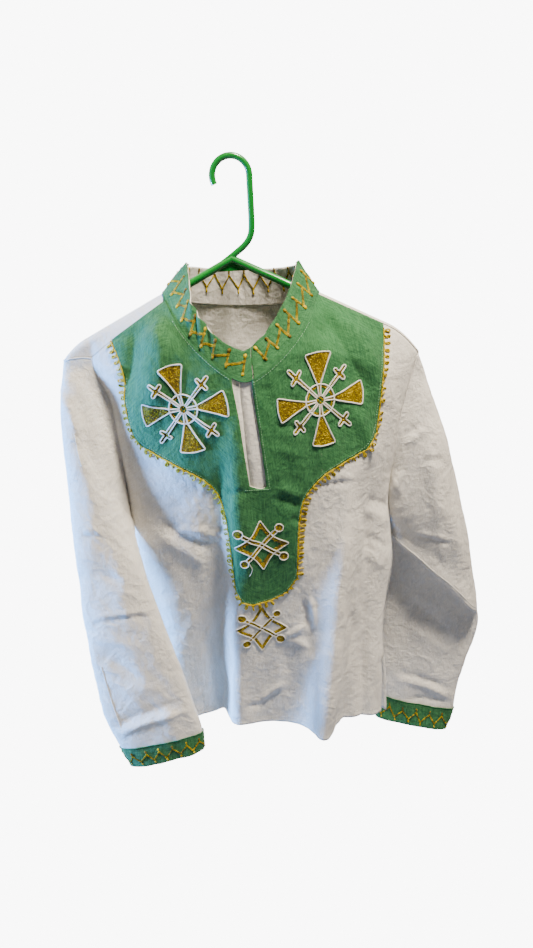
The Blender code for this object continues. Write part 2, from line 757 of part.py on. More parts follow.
def collar_surface(columns, rows):
    """Points of the collar's inside, a row for each height."""
    angles = np.linspace(COLLAR_OPEN_ANGLE + 0.2, 360 + COLLAR_OPEN_ANGLE - 0.2, columns)
    turned = (angles + 180) % 360 - 180
    radians = np.radians(turned)
    x = NECK_X + NECK_HALF * np.sin(radians)
    front = np.abs(turned) < 90
    z = np.where(front, neck_height(x, True), neck_height(x, False))
    z = np.minimum(z, shoulder_top(x))
    y = np.where(front, depth(x, z, True), depth(x, z, False))
    lean = curve(COLLAR, "angle", "lean", turned)
    rise = curve(COLLAR, "angle", "rise", turned)
    inward = -np.stack([np.sin(radians), -np.cos(radians)], axis=-1)
    layers = []
    foot = np.stack([x, y, z + COLLAR_LIFT], axis=-1)
    foot[:, :2] += inward * COLLAR_INSET
    on_arm = np.abs(foot[:, 1]) < 2 * CLOTH_OVER_ARM
    foot[:, 2] = np.where(on_arm, np.maximum(foot[:, 2], shoulder_top(foot[:, 0]) + GAP), foot[:, 2])
    for height in np.linspace(0, 1, rows + 1):
        layer = foot.copy()
        layer[:, 2] += (z + rise - foot[:, 2]) * height
        layer[:, :2] += inward * (lean * height)[:, None]
        layers.append(layer)
    return np.stack(layers)[::-1]


def build_collar(collection):
    """The stand collar and its lining."""
    points = collar_surface(COLLAR_COLUMNS, COLLAR_ROWS)
    lining = place(lattice("collar_lining", points), collection, COTTON)
    add_wall(lining, TRIM_WALL, 1)
    outer = points + normals_of(points) * (TRIM_WALL + GAP)
    collar = place(lattice("collar", outer), collection, GREEN)
    add_wall(collar, TRIM_WALL, 1)


def build_sleeve(collection, side, rings, count):
    """A sleeve and the cuff band on its end."""
    left = side == "left"
    points = sleeve_surface(rings, left, count)
    points = flip(elbow_fold(points, count)) if left else points
    sleeve = place(lattice(f"sleeve_{side}", points, closed=True), collection, COTTON)
    add_wall(sleeve, COTTON_WALL, 1)
    out = normals_of(points, closed=True)
    band = (points + out * (COTTON_WALL + GAP))[-1 - CUFF_STEPS :]
    cuff = place(lattice(f"cuff_band_{side}", band, closed=True), collection, GREEN)
    add_wall(cuff, TRIM_WALL, 1)


def tube(name, points, radius, collection, cyclic=False):
    """A round rod along a list of points, as a mesh."""
    line = bpy.data.curves.new(name, "CURVE")
    line.dimensions = "3D"
    line.bevel_depth = radius
    line.bevel_resolution = 3
    line.use_fill_caps = True
    spline = line.splines.new("POLY")
    spline.points.add(len(points) - 1)
    for point, (x, z) in zip(spline.points, points):
        point.co = (x, 0, z, 1)
    spline.use_cyclic_u = cyclic
    return meshed(bpy.data.objects.new(name, line), collection)


def arc(centre_x, centre_z, radius, start, end, count):
    """Points along an arc, in degrees from +X toward +Z."""
    angles = np.radians(np.linspace(start, end, count))
    return [(centre_x + radius * math.cos(a), centre_z + radius * math.sin(a)) for a in angles]


def build_hanger(collection):
    """Arms, bottom bar, hook and web, joined into one moulding."""
    slope = math.degrees(math.atan(ARM_SLOPE))
    bar = -BAR_DOWN
    path = [(ARM_APEX_X, -ARM_APEX_DOWN)]
    end_x = ARM_APEX_X + HANGER_HALF - BEND_RADIUS
    rise_to_arm = BEND_RADIUS / math.cos(math.radians(slope))
    end_z = -ARM_APEX_DOWN - ARM_SLOPE * (end_x - ARM_APEX_X) - rise_to_arm
    path += arc(end_x, end_z, BEND_RADIUS, 90 - slope, 0, 6)
    path += arc(end_x, bar + BEND_RADIUS, BEND_RADIUS, 0, -90, 6)
    far_x = ARM_APEX_X - HANGER_HALF + BEND_RADIUS
    path += arc(far_x, bar + BEND_RADIUS, BEND_RADIUS, -90, -180, 6)
    path += arc(far_x, end_z, BEND_RADIUS, 180, 90 + slope, 6)
    frame = tube("hanger", path, ARM_RADIUS, collection, cyclic=True)
    frame.data.materials.append(material(PLASTIC))
    frame.data.shade_smooth()

    hook_path = arc(0, -HOOK_INSIDE, HOOK_RADIUS, HOOK_END_DEGREES, 0, 17)
    hook_path += [(corner.x, -corner.down) for corner in STEM_PATH]
    helpers = bpy.data.collections["cutters"]
    hook = tube("hook_core", hook_path, ROD_RADIUS, helpers)
    web = web_plate(helpers)
    for helper in (hook, web):
        helper.hide_render = True
        helper.display_type = "WIRE"
        join = frame.modifiers.new(helper.name, "BOOLEAN")
        join.operation = "UNION"
        join.object = helper


def web_plate(collection):
    """The thin triangle that fills the apex under the arms."""
    outline = bpy.data.curves.new("web_core", "CURVE")
    outline.dimensions = "2D"
    outline.fill_mode = "BOTH"
    outline.extrude = WEB_THICKNESS / 2
    spline = outline.splines.new("POLY")
    spline.points.add(len(WEB_CORNERS) - 1)
    for point, corner in zip(spline.points, WEB_CORNERS):
        point.co = (corner.x, -corner.down, 0, 1)
    spline.use_cyclic_u = True
    upright = bpy.data.objects.new("web_core", outline)
    upright.rotation_euler = (math.pi / 2, 0, 0)
    return meshed(upright, collection)


def main():
    """Builds the shirt and its hanger."""
    for startup in list(bpy.data.objects):
        bpy.data.objects.remove(startup)
    collection = bpy.data.collections.new("habesha_shirt")
    bpy.context.scene.collection.children.link(collection)
    build_front(collection)
    build_back(collection)
    build_collar(collection)
    build_sleeve(collection, "right", RIGHT_SLEEVE, RIGHT_RINGS)
    build_sleeve(collection, "left", LEFT_SLEEVE, LEFT_RINGS)
    build_hanger(collection)


if __name__ == "__main__":
    main()
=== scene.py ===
"""Habesha shirt on a tubular plastic hanger: cloth, embroidery, finishes, lights and camera.

The origin is the inside top of the hook. +Z is up, the front faces -Y and the wearer's left is at
+X. `down` is the distance below the origin. Every cloth surface is worked out as the inside of its
piece; the wall stands outward from it. The tables are written in millimetres, all else is in metres.
"""

from __future__ import annotations

import logging
import math
from dataclasses import dataclass, field
from enum import Enum
from typing import Callable, NamedTuple, Optional, Sequence

import bmesh
import bpy
import numpy as np
from bpy.types import Material, Node, NodeSocket, NodeTree, Object
from mathutils import Matrix, Vector
from mathutils.bvhtree import BVHTree


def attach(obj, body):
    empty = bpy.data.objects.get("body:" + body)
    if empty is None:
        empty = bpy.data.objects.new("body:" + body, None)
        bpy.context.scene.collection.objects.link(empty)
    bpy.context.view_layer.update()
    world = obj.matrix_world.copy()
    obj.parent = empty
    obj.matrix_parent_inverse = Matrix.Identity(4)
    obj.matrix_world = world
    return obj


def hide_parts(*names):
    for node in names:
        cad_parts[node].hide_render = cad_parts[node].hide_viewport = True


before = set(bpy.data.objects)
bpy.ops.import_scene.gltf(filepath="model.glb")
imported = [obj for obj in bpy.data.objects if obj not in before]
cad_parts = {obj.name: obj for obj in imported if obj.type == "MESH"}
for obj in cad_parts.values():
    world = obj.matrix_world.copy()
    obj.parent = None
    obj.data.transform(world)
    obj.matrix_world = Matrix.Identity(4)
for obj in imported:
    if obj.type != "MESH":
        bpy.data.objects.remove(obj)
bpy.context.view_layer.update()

log = logging.getLogger("habesha_shirt")
Points = np.ndarray
Triple = tuple[float, float, float]

COTTON_WALL = 0.0012
TRIM_WALL = 0.0010
GAP = 0.0003
YOKE_GAP = 0.0005

NECK_X = 0.004
NECK_HALF = 0.100
NECK_SIDE_DOWN = 0.160
NECK_TILT = 0.043
NECK_FRONT_DROP = 0.102
NECK_POINT = 1.35
NECK_ROUND = 0.8
NECK_BACK_DROP = 0.024
NECK_SIDE_TURN = math.radians(86)
NECK_TURN_OVER = 0.0010
HEM_DOWN = 0.800
SLIT_FRACTION = 0.263
SLIT_LEFT = -0.060
SLIT_RIGHT = 0.052
RIDGE_DOWN = (0.28, 0.57, 0.83)
RIDGE_X = (-0.013, -0.0198, -0.0430)


class Side(NamedTuple):
    """Where the side of a panel runs: x of the wearer's right and left edge."""

    down: float
    right: float
    left: float


class Level(NamedTuple):
    """The body at one height: depths, centre line and how far the sides are forward."""

    down: float
    front: float
    back: float
    centre: float
    right_forward: float
    left_forward: float


class SeamDrop(NamedTuple):
    """How far below the top of the shoulder, on its front, the back panel ends."""

    x: float
    drop: float


class Fold(NamedTuple):
    """A large fold from one place to another, positive where it is a ridge."""

    x0: float
    down0: float
    x1: float
    down1: float
    height0: float
    height1: float
    right_width: float
    left_width: float


class Crease(NamedTuple):
    """A crease on one face: depth along the cloth's normal, half width, crispness, skew and bow.

    The skew widens the side toward +X of a crease that runs down.
    """

    x0: float
    down0: float
    x1: float
    down1: float
    height: float
    width: float
    power: float = 1.5
    skew: float = 1.0
    bow: float = 0.06


class CollarStation(NamedTuple):
    """The collar round the neck: degrees from the front centre toward the wearer's left."""

    angle: float
    lean: float
    rise: float


class SleeveRing(NamedTuple):
    """One section of a sleeve: outer and inner edge, and how far it stands forward and back."""

    outer_x: float
    outer_y: float
    outer_down: float
    inner_x: float
    inner_y: float
    inner_down: float
    forward: float
    backward: float


class Place(NamedTuple):
    """A place seen from the front."""

    x: float
    down: float


class Numbered(NamedTuple):
    """A value at a station."""

    at: float
    value: float


NOT_LENGTHS = ("angle", "power", "skew", "bow")


def table(kind: type, rows: Sequence[Sequence[float]]) -> tuple[NamedTuple, ...]:
    """The rows of a table, whose lengths are written in millimetres, in metres.

    Args:
        kind: what a row is.
        rows: its numbers in the order of its fields.

    Returns:
        The rows as objects of that kind.
    """
    lengths = [name not in NOT_LENGTHS for name in kind._fields]
    return tuple(
        kind(*(round(value / 1000, 6) if length else value for value, length in zip(row, lengths)))
        for row in rows)


FRONT_SIDES = table(Side, (
    (233, -197, 235.1), (250, -195, 232.5), (282, -181, 223.5), (333, -174, 209.5), (394, -172, 201.7),
    (455, -173, 196.5), (505, -179, 199), (550, -182, 201), (600, -184, 193), (660, -184, 186),
    (745, -184, 188.5), (800, -183, 186),
))
BACK_SIDES = table(Side, (
    (233, -234.5, 235.1), (250, -232, 233), (282, -219, 223.5), (333, -199, 209.5), (394, -181, 201.7),
    (455, -173, 196.5), (505, -179, 199), (550, -182, 201), (600, -184, 193), (660, -184, 186),
    (745, -184, 190), (800, -183, 190),
))
LEVELS = table(Level, (
    (160, 82, 62, 0, 0, 0), (260, 80, 60, 0, 0, 0), (330, 80, 54, 7, 0, 0), (400, 77, 50, 13, 0, 0),
    (490, 69, 48, 16, 0, 2), (600, 56, 46, 10, -6, 12), (700, 45, 44, 3, -11, 22),
    (800, 38, 42, 0, -16, 30),
))
SHOULDER_SEAM = table(SeamDrop, (
    (-234.5, 0.4), (-215, 15), (-197, 26.5), (-160, 18), (-95.5, 10), (103.5, 3), (235.1, 2),
))
FRONT_FOLDS = table(Fold, (
    (-30, 290, -62, 830, -3, -31, 30, 11), (-2, 300, -36, 830, 4, 6, 12, 20),
    (138, 400, 86, 830, 3, 46, 20, 14), (155, 480, 118, 830, -3, -8, 14, 22),
    (-104, 165, -152, 350, 13, 6, 12, 40), (-112, 420, -128, 830, 2, 11, 22, 22),
    (75, 215, 180, 265, 3, 3, 14, 16), (115, 190, 205, 330, 3, 5, 16, 14),
    (165, 340, 180, 560, 6, 4, 14, 12),
))
BACK_FOLDS = table(Fold, (
    (20, 260, 30, 830, 3, 16, 22, 18), (-80, 300, -95, 830, 2, 18, 18, 24),
    (120, 330, 105, 830, 3, 20, 20, 16), (-30, 360, -40, 830, -2, -10, 20, 18),
    (70, 360, 66, 830, -2, -10, 18, 18),
))
COLLAR = table(CollarStation, (
    (-180, 4, 49), (-135, 14, 46), (-90, 34, 36), (-60, 27, 37), (-38, 10, 40), (-20, 6, 36), (0, 12, 37),
    (30, 22, 37), (60, 26, 37), (90, 26, 40), (135, 13, 46), (180, 4, 49),
))
COLLAR_OPEN_ANGLE = 6.2
RIGHT_SLEEVE = table(SleeveRing, (
    (-244, -2, 275, -170, -4, 463, 34, 10), (-247.5, -10, 335, -167, -16, 474, 34, 10),
    (-247, -22, 400, -164, -31, 490, 28, 12), (-246.5, -36, 470, -156, -46, 515, 22, 12),
    (-245.5, -48, 540, -145, -60, 558, 18, 12), (-243, -58, 610, -130, -70, 612, 16, 12),
    (-238, -66, 680, -112, -78, 672, 15, 12), (-230, -74, 748, -98.5, -86, 730, 14, 11),
    (-210.5, -80, 800, -88.5, -90, 772, 12, 10), (-199.5, -80, 835, -89.5, -90, 803, 12, 10),
))
LEFT_SLEEVE = table(SleeveRing, (
    (252, 0, 300, 196, 4, 468, 22, 14), (276, 2, 374, 196.5, 8, 478, 28, 16),
    (294, 4, 450, 197, 11, 484, 30, 16), (313, 6, 527, 197.5, 14, 490, 29, 16),
    (324, 8, 590, 198, 17, 496, 27, 16), (333, 11, 640, 198.5, 20, 503, 24, 15),
    (338, 16, 676, 201, 26, 530, 16, 14), (333.5, 20, 715, 205, 32, 590, 12, 13),
    (322.5, 22, 752, 197, 35, 660, 12, 12), (313, 22, 792, 192, 36, 730, 11, 11),
    (306, 22, 840, 188.5, 36, 815, 10, 10), (296, 22, 880, 186.5, 34, 858, 10, 10),
))
LEFT_ARMPIT_DOWN = 0.454
ELBOW_RING = 5.4
ELBOW_LIP = 0.012
ELBOW_BOW = 0.50
ELBOW_TUCK = 0.014
YOKE_OUTLINE = table(Place, (
    (-170, 150), (-168, 205), (-158, 230), (-152, 262), (-156, 284), (-153, 314), (-145, 345), (-121, 357),
    (-96, 370), (-62, 388), (-44, 406), (-34, 432), (-30, 462), (-28, 516), (-25, 573), (3, 587), (59, 560),
    (62, 499), (66, 448), (74, 420), (95, 397), (122, 381), (171, 362), (179, 303), (186, 240), (191, 150),
))
FRONT_CREASES = table(Crease, (
    (-13, 280, -22, 660, 3.6, 10, 1.2, 3, 0), (-17.5, 530, -52, 940, 4, 10, 1.2, 3, 0),
    (152, 260, 83, 900, 5, 24, 1.2, 1.4, 0), (170, 300, 146, 940, -4.6, 10, 1.6, 0.9, 0),
    (-78, 477, -42, 481, 1.6, 3, 1.2), (-46, 480, -28, 494, -1.6, 3, 1.2), (-4, 420, -14, 560, 1.6, 6),
    (-22, 470, -40, 640, -1.6, 7), (-52, 560, -66, 760, 1.5, 6), (-78, 640, -84, 790, -1.5, 8),
    (74, 571, 82, 638, 2.2, 4.5), (66, 580, 71, 632, -1.6, 5), (-4, 764, 39, 726, 2, 4.5),
    (-6, 775, 34, 741, -1.5, 5), (-30, 769, 1, 771, -1.4, 4), (86, 403, 146, 403, 1.2, 3, 1.1),
    (86, 409, 144, 410, -1, 3, 1.1), (-135, 457, -51, 506, -2, 10), (-140, 474, -60, 530, 1.8, 11),
    (150, 452, 196, 500, 1.6, 6), (160, 440, 198, 474, -1.4, 6), (158, 500, 194, 531, -1.3, 6),
    (150, 522, 188, 560, 1.4, 7), (128, 593, 147, 790, -2, 10), (104, 600, 94, 780, 1.5, 6),
    (30, 640, 34, 780, -1.2, 10), (52, 600, 58, 740, 1, 8), (-122, 150, -158, 290, -5, 7, 1.2, 3.2, 0),
    (-98, 160, -122, 320, 3, 12, 1.3, 1.6, 0), (-98, 180, -118, 300, 2, 8),
    (-120, 270, -100, 360, -1.4, 10), (-62, 275, -46, 350, 1, 10), (98, 182, 162, 300, -3.4, 10),
    (118, 178, 182, 290, 3.2, 10), (100, 222, 124, 192, -1.8, 7), (40, 232, 110, 238, 1.4, 8),
    (26, 262, 34, 300, -1.4, 6), (148, 190, 184, 222, -1.6, 6), (140, 300, 166, 400, 2.4, 10),
    (126, 300, 148, 400, -2.2, 9), (34, 318, 88, 338, -1.2, 5), (30, 350, 70, 364, 1.1, 6),
    (36, 404, 74, 424, 2, 6), (30, 416, 70, 440, -1.4, 6), (-26, 408, 0, 404, -1.6, 4),
    (52, 448, 66, 462, -1.4, 5), (34, 650, 76, 625, 1.8, 5), (38, 650, 79, 663, 1.6, 5),
    (-110, 471, -46, 473, 1.8, 4.5), (-50, 470, -29, 486, 1.8, 4.5), (30, 430, 36, 560, 0.8, 10),
    (-164, 560, -150, 780, -1.2, 12), (-108, 520, -98, 640, 1, 10),
))
BACK_CREASES = table(Crease, (
    (-150, 300, -60, 360, -1.6, 10), (150, 320, 70, 370, 1.5, 10), (-40, 240, -60, 420, 1.4, 9),
    (50, 250, 76, 430, -1.4, 9), (0, 420, 10, 640, 1.3, 8), (-110, 480, -124, 720, -1.6, 10),
    (96, 520, 88, 760, 1.5, 8), (150, 500, 160, 700, -1.4, 10), (-160, 440, -150, 600, 1.4, 9),
    (-20, 700, 30, 740, 1.4, 6), (120, 420, 180, 470, 1.4, 8), (-190, 290, -150, 420, 1.6, 9),
))
RIGHT_SLEEVE_CREASES = table(Crease, (
    (-236, 592, -129, 580, 1.4, 3.5, 1.1), (-236, 600, -132, 588, -1.1, 3.5, 1.1),
    (-232, 462, -200, 463, 1.2, 3.5, 1.1), (-234, 470, -196, 474, -0.9, 3.5, 1.1),
    (-219, 778, -95, 732, 2.4, 6), (-222, 764, -100, 716, -1.6, 8), (-240, 640, -160, 690, -1.4, 10),
    (-238, 620, -150, 640, 1.2, 8), (-232, 520, -176, 540, -1.2, 9), (-230, 330, -190, 390, -1.4, 10),
    (-200, 290, -186, 420, -1.8, 10), (-222, 262, -205, 300, 1.6, 6), (-200, 700, -130, 700, 1, 8),
    (-239, 267, -223, 258, 1.4, 4),
))
LEFT_SLEEVE_CREASES = table(Crease, (
    (195, 410, 212, 452, 2, 4), (214, 408, 196, 452, 2, 4), (216, 367, 236, 347, -1.8, 5),
    (214, 380, 246, 352, 1.4, 5), (240, 330, 282, 600, 3.4, 10, 1.3, 2.5, 0),
    (237, 399, 272, 399, -1.8, 4.5), (226, 514, 287, 529, -1.2, 3.5, 1.1),
    (226, 508, 290, 522, 1.2, 3.5, 1.1), (245, 330, 262, 420, 1.4, 9), (250, 440, 300, 560, 1.4, 10),
    (209, 778, 306, 820, 2.2, 5), (209, 768, 306, 806, -1.6, 6), (222, 819, 306, 828, -1.6, 5),
    (230, 640, 300, 700, -1.4, 10), (220, 680, 300, 740, 1.4, 10), (250, 590, 222, 700, -1.2, 8),
))


def curve(rows: Sequence, key: str, value: str, at: Points) -> Points:
    """A smooth curve through the rows.

    Args:
        rows: the rows of a table, in rising order of the key.
        key: the name of the key column.
        value: the name of the value column.
        at: where the curve is read.

    Returns:
        The value at each place.
    """
    keys = np.array([getattr(row, key) for row in rows])
    values = np.array([getattr(row, value) for row in rows])
    slopes = np.gradient(values, keys)
    at = np.clip(at, keys[0], keys[-1])
    i = np.clip(np.searchsorted(keys, at) - 1, 0, len(keys) - 2)
    step = keys[i + 1] - keys[i]
    u = (at - keys[i]) / step
    line = values[i] * (1 - u) + values[i + 1] * u
    rise = (values[i + 1] - values[i]) / step
    bend = u * (1 - u) * step
    return line + bend * ((slopes[i] - rise) * (1 - u) - (slopes[i + 1] - rise) * u)


def lattice_normals(points: Points, closed: bool = False) -> Points:
    """Outward unit normals of a lattice whose columns run clockwise seen from outside.

    Args:
        points: rows by columns by 3.
        closed: whether the last column meets the first.

    Returns:
        A normal for each point.
    """
    down = np.gradient(points, axis=0)
    if closed:
        across = np.roll(points, -1, axis=1) - np.roll(points, 1, axis=1)
    else:
        across = np.gradient(points, axis=1)
    normal = np.cross(down, across)
    return normal / np.maximum(np.linalg.norm(normal, axis=-1, keepdims=True), 1e-12)


def smooth_step(value: Points) -> Points:
    """0 below 0, 1 above 1 and a soft rise between."""
    value = np.clip(value, 0, 1)
    return value * value * (3 - 2 * value)


def ripple(x: Points, z: Points, seed: int, across: float, along: float) -> Points:
    """A soft uneven relief between -1 and 1 made of waves in seeded directions.

    Args:
        x: places across the cloth, in metres.
        z: places along it.
        seed: the seed of the waves.
        across: the usual distance between waves across.
        along: the usual distance between waves along.

    Returns:
        The relief at each place.
    """
    dice = np.random.default_rng(seed)
    total = np.zeros_like(x)
    for _ in range(14):
        a = 2 * math.pi * dice.uniform(0.5, 1.6) / across * dice.choice((-1, 1))
        b = 2 * math.pi * dice.uniform(0.3, 1.5) / along * dice.choice((-1, 1))
        total = total + np.sin(a * x + b * z + dice.uniform(0, 6.28))
    return total / 5.0


@dataclass(frozen=True)
class HangerSizes:
    """Sizes of the hanger."""

    rod_radius: float = 0.0040
    hook_radius: float = 0.0230
    arm_radius: float = 0.0054
    arm_slope: float = 0.50
    apex_x: float = -0.0046
    apex_down: float = 0.1184
    half: float = 0.206
    bar_down: float = 0.2520
    bend_radius: float = 0.016
    web: float = 0.003


@dataclass
class BodyForm:
    """The hanging form of the shirt's front and back."""

    hanger: HangerSizes = field(default_factory=HangerSizes)
    over_arm: float = 0.0070
    clear_of_bar: float = 0.060
    tip_start: float = 0.200
    tip_droop: float = 11.0
    armpit_down: float = 0.455
    fold_fade: float = 0.25
    crest_round: float = 0.03
    crest_rise: float = 0.173
    fold_fall: float = 1.2
    fold_power: float = 1.3
    swell_start: float = 0.055
    arm_fade: float = 0.08
    armhole_down: float = 0.25
    armhole_swell: float = 0.010
    front_edge_down: float = 0.244
    over_turn: float = 0.020
    back_edge_lift: float = 0.008

    def shoulder_top(self, x: Points) -> Points:
        """Height of the cloth's inside where it lies on the hanger's arms.

        Args:
            x: places across.

        Returns:
            The height at each place.
        """
        sizes = self.hanger
        top = sizes.apex_down - sizes.arm_radius * math.hypot(1, sizes.arm_slope) - 0.0006
        reach = np.abs(x - sizes.apex_x)
        beyond = np.maximum(reach - self.tip_start, 0)
        return -(top + sizes.arm_slope * reach + self.tip_droop * beyond**2)

    def drop_at(self, path: Points) -> Points:
        """Drop below the shoulder's top after a length of path over the arm's round."""
        round_part = np.minimum(np.abs(path), self.over_arm * math.pi / 2)
        return self.over_arm * (1 - np.cos(round_part / self.over_arm)) + np.abs(path) - round_part

    def path_at(self, drop: Points) -> Points:
        """The length of path over the arm's round that gives this drop."""
        round_part = np.minimum(drop, self.over_arm)
        return self.over_arm * np.arccos(1 - round_part / self.over_arm) + drop - round_part

    def fold_height(self, folds: Sequence[Fold], x: Points, z: Points) -> Points:
        """Height of all large folds at each place, faded in at their upper end.

        Args:
            folds: rows of the table.
            x: places across.
            z: heights.

        Returns:
            The height at each place.
        """
        total = np.zeros_like(x)
        for fold in folds:
            run, fall = fold.x1 - fold.x0, fold.down1 - fold.down0
            length = math.hypot(run, fall)
            along = ((x - fold.x0) * run + (-z - fold.down0) * fall) / length**2
            across = ((x - fold.x0) * fall - (-z - fold.down0) * run) / length
            width = np.where(across < 0, fold.right_width, fold.left_width)
            reach = np.clip(along / self.fold_fade, 0, 1)
            if fold.down1 <= HEM_DOWN:
                reach = reach * np.clip((1 - along) / self.fold_fade, 0, 1)
            height = fold.height0 + (fold.height1 - fold.height0) * np.clip(along, 0, 1)
            away = np.sqrt((across / width) ** 2 + self.crest_round) - self.crest_rise
            total += height * smooth_step(reach) * np.exp(-self.fold_fall * away**self.fold_power)
        return total

    def depth(self, x: Points, z: Points, front: bool) -> Points:
        """y of a panel's inside at a place seen from the front.

        Args:
            x: places across.
            z: heights.
            front: whether it is the front panel.

        Returns:
            y at each place.
        """
        sides = FRONT_SIDES if front else BACK_SIDES
        down = -z
        middle = curve(LEVELS, "down", "centre", down)
        left = curve(sides, "down", "left", down)
        right = curve(sides, "down", "right", down)
        share = np.where(x > middle, (x - middle) / (left - middle), (middle - x) / (middle - right))
        share = np.clip(share, 0, 1)
        forward = np.where(
            x > 0,
            curve(LEVELS, "down", "left_forward", down),
            curve(LEVELS, "down", "right_forward", down),
        )
        drop = np.maximum(self.shoulder_top(x) - z, 0)
        swell = curve(LEVELS, "down", "front" if front else "back", down)
        swell = swell * (1 - share**2.2) ** 0.75 * (1 - np.exp(-drop / self.swell_start))
        on_arm = np.minimum(drop, self.over_arm)
        arm = np.sqrt(np.maximum(2 * self.over_arm * on_arm - on_arm**2, 0))
        arm = arm * np.exp(-np.maximum(drop - self.clear_of_bar, 0) / self.arm_fade)
        height = np.clip((down - self.armhole_down) / (self.armpit_down - self.armhole_down), 0, 1)
        armhole = self.armhole_swell * np.sin(math.pi * height) ** 2 * share**4
        away = arm + swell + armhole + GAP / 2
        away = away + self.fold_height(FRONT_FOLDS if front else BACK_FOLDS, x, z) * (1 - share**6)
        away = np.maximum(away, GAP / 2)
        return -forward * share - away if front else -forward * share + away

    def neck_height(self, x: Points, front: bool) -> Points:
        """Height of the neckline.

        Args:
            x: places across.
            front: whether it is the front panel.

        Returns:
            The height at each place.
        """
        across = np.abs(np.clip((x - NECK_X) / NECK_HALF, -1, 1))
        side = -(NECK_SIDE_DOWN + NECK_TILT * (x - NECK_X))
        if front:
            return side - NECK_FRONT_DROP * (1 - across**NECK_POINT) ** NECK_ROUND
        return side - NECK_BACK_DROP * np.sqrt(1 - across**2)

    def seam_path(self, x: Points) -> Points:
        """Path from the shoulder's top, on the front, to the shoulder seam."""
        drops = np.interp(x, [row.x for row in SHOULDER_SEAM], [row.drop for row in SHOULDER_SEAM])
        return self.path_at(drops)

    def front_top_path(self, x: Points) -> Points:
        """Path at which the front panel starts: the shoulder seam or the neckline.

        Args:
            x: places across.

        Returns:
            The path at each place.
        """
        seam = self.seam_path(x) + GAP / 2
        neck = self.path_at(np.maximum(self.shoulder_top(x) - self.neck_height(x, True), 0))
        return np.where(np.abs(x - NECK_X) < NECK_HALF * 0.999, np.maximum(neck, seam), seam)

    def front_surface(self, shares: Points, rows: Points) -> Points:
        """Points of the front panel's inside, a row for each fraction of the way down.

        Args:
            shares: places across, from -1 to 1.
            rows: fractions of the way down.

        Returns:
            The points.
        """
        share, row = np.meshgrid(shares, rows)
        top_x = np.where(share < 0, share * -FRONT_SIDES[0].right, share * FRONT_SIDES[0].left)
        start = self.front_top_path(top_x)
        path = start + (self.path_at(HEM_DOWN + self.shoulder_top(top_x)) - start) * row
        z = self.shoulder_top(top_x) - self.drop_at(path)
        edge_top = np.where(share < 0, FRONT_SIDES[0].down, self.front_edge_down)
        edge = edge_top + (HEM_DOWN - edge_top) * row
        middle = curve(LEVELS, "down", "centre", -z)
        side = np.where(
            share < 0,
            share * -curve(FRONT_SIDES, "down", "right", edge),
            share * curve(FRONT_SIDES, "down", "left", edge),
        )
        x = side + middle * (1 - share**2)
        return np.stack([x, self.depth(x, z, True), z], axis=-1)

    def back_start(self, x: float) -> float:
        """Path of the back panel's upper edge: before the arm at the shoulders, behind it at the neck.

        Args:
            x: a place across.

        Returns:
            The path's length.
        """
        inside = (NECK_HALF * math.sin(NECK_SIDE_TURN) - abs(x - NECK_X)) / NECK_TURN_OVER
        share = min(max(inside, 0), 1)
        seam = GAP / 2 - float(self.seam_path(np.array(x)))
        drop = np.maximum(self.shoulder_top(x) - self.neck_height(x, False), 0)
        return seam * (1 - share) + float(self.path_at(drop)) * share

    def back_surface(self, shares: Points, over_rows: int, lower_rows: int) -> Points:
        """Points of the back panel's inside, from its front edge over the arms to the hem.

        Args:
            shares: places across, from -1 to 1.
            over_rows: rows over the arm.
            lower_rows: rows below them.

        Returns:
            The points.
        """
        below = (np.arange(1, lower_rows + 1) / lower_rows) ** 1.1
        columns = []
        for share in shares:
            top_x = share * -BACK_SIDES[0].right if share < 0 else share * BACK_SIDES[0].left
            start = self.back_start(top_x)
            turn = max(start, 0) + self.over_turn
            upper = np.linspace(start, turn, over_rows + 1)
            end = float(self.path_at(HEM_DOWN + self.shoulder_top(top_x)))
            path = np.concatenate([upper, turn + (end - turn) * below])
            z = self.shoulder_top(top_x) - self.drop_at(path)
            reach = np.clip((path - turn) / (end - turn), 0, 1)
            edge_top = BACK_SIDES[0].down + self.back_edge_lift
            edge = edge_top + (HEM_DOWN - BACK_SIDES[0].down - self.back_edge_lift) * reach
            name = "right" if share < 0 else "left"
            side = abs(share) * curve(BACK_SIDES, "down", name, edge)
            x = side + curve(LEVELS, "down", "centre", -z) * (1 - share**2)
            x = np.where(path <= turn, top_x, x)
            y = np.where(path < 0, self.depth(x, z, True), self.depth(x, z, False))
            columns.append(np.stack([x, y, z], axis=-1))
        return np.stack(columns, axis=1)


def crease_height(creases: Sequence[Crease], x: Points, down: Points) -> Points:
    """Relief of small creases at each place, fading at both ends of each.

    Args:
        creases: rows of the table.
        x: places across.
        down: places below the origin.

    Returns:
        The height along the cloth's normal.
    """
    total = np.zeros_like(x)
    for crease in creases:
        run, fall = crease.x1 - crease.x0, crease.down1 - crease.down0
        length = math.hypot(run, fall)
        along = ((x - crease.x0) * run + (down - crease.down0) * fall) / length**2
        bow = crease.bow * length * np.sin(math.pi * np.clip(along, 0, 1))
        across = ((x - crease.x0) * fall - (down - crease.down0) * run) / length - bow
        fade = smooth_step(along / 0.3) * smooth_step((1 - along) / 0.3)
        reach = np.abs(across) / np.where(across > 0, crease.width * crease.skew, crease.width)
        total += crease.height * fade * np.exp(-(reach ** crease.power))
    return total


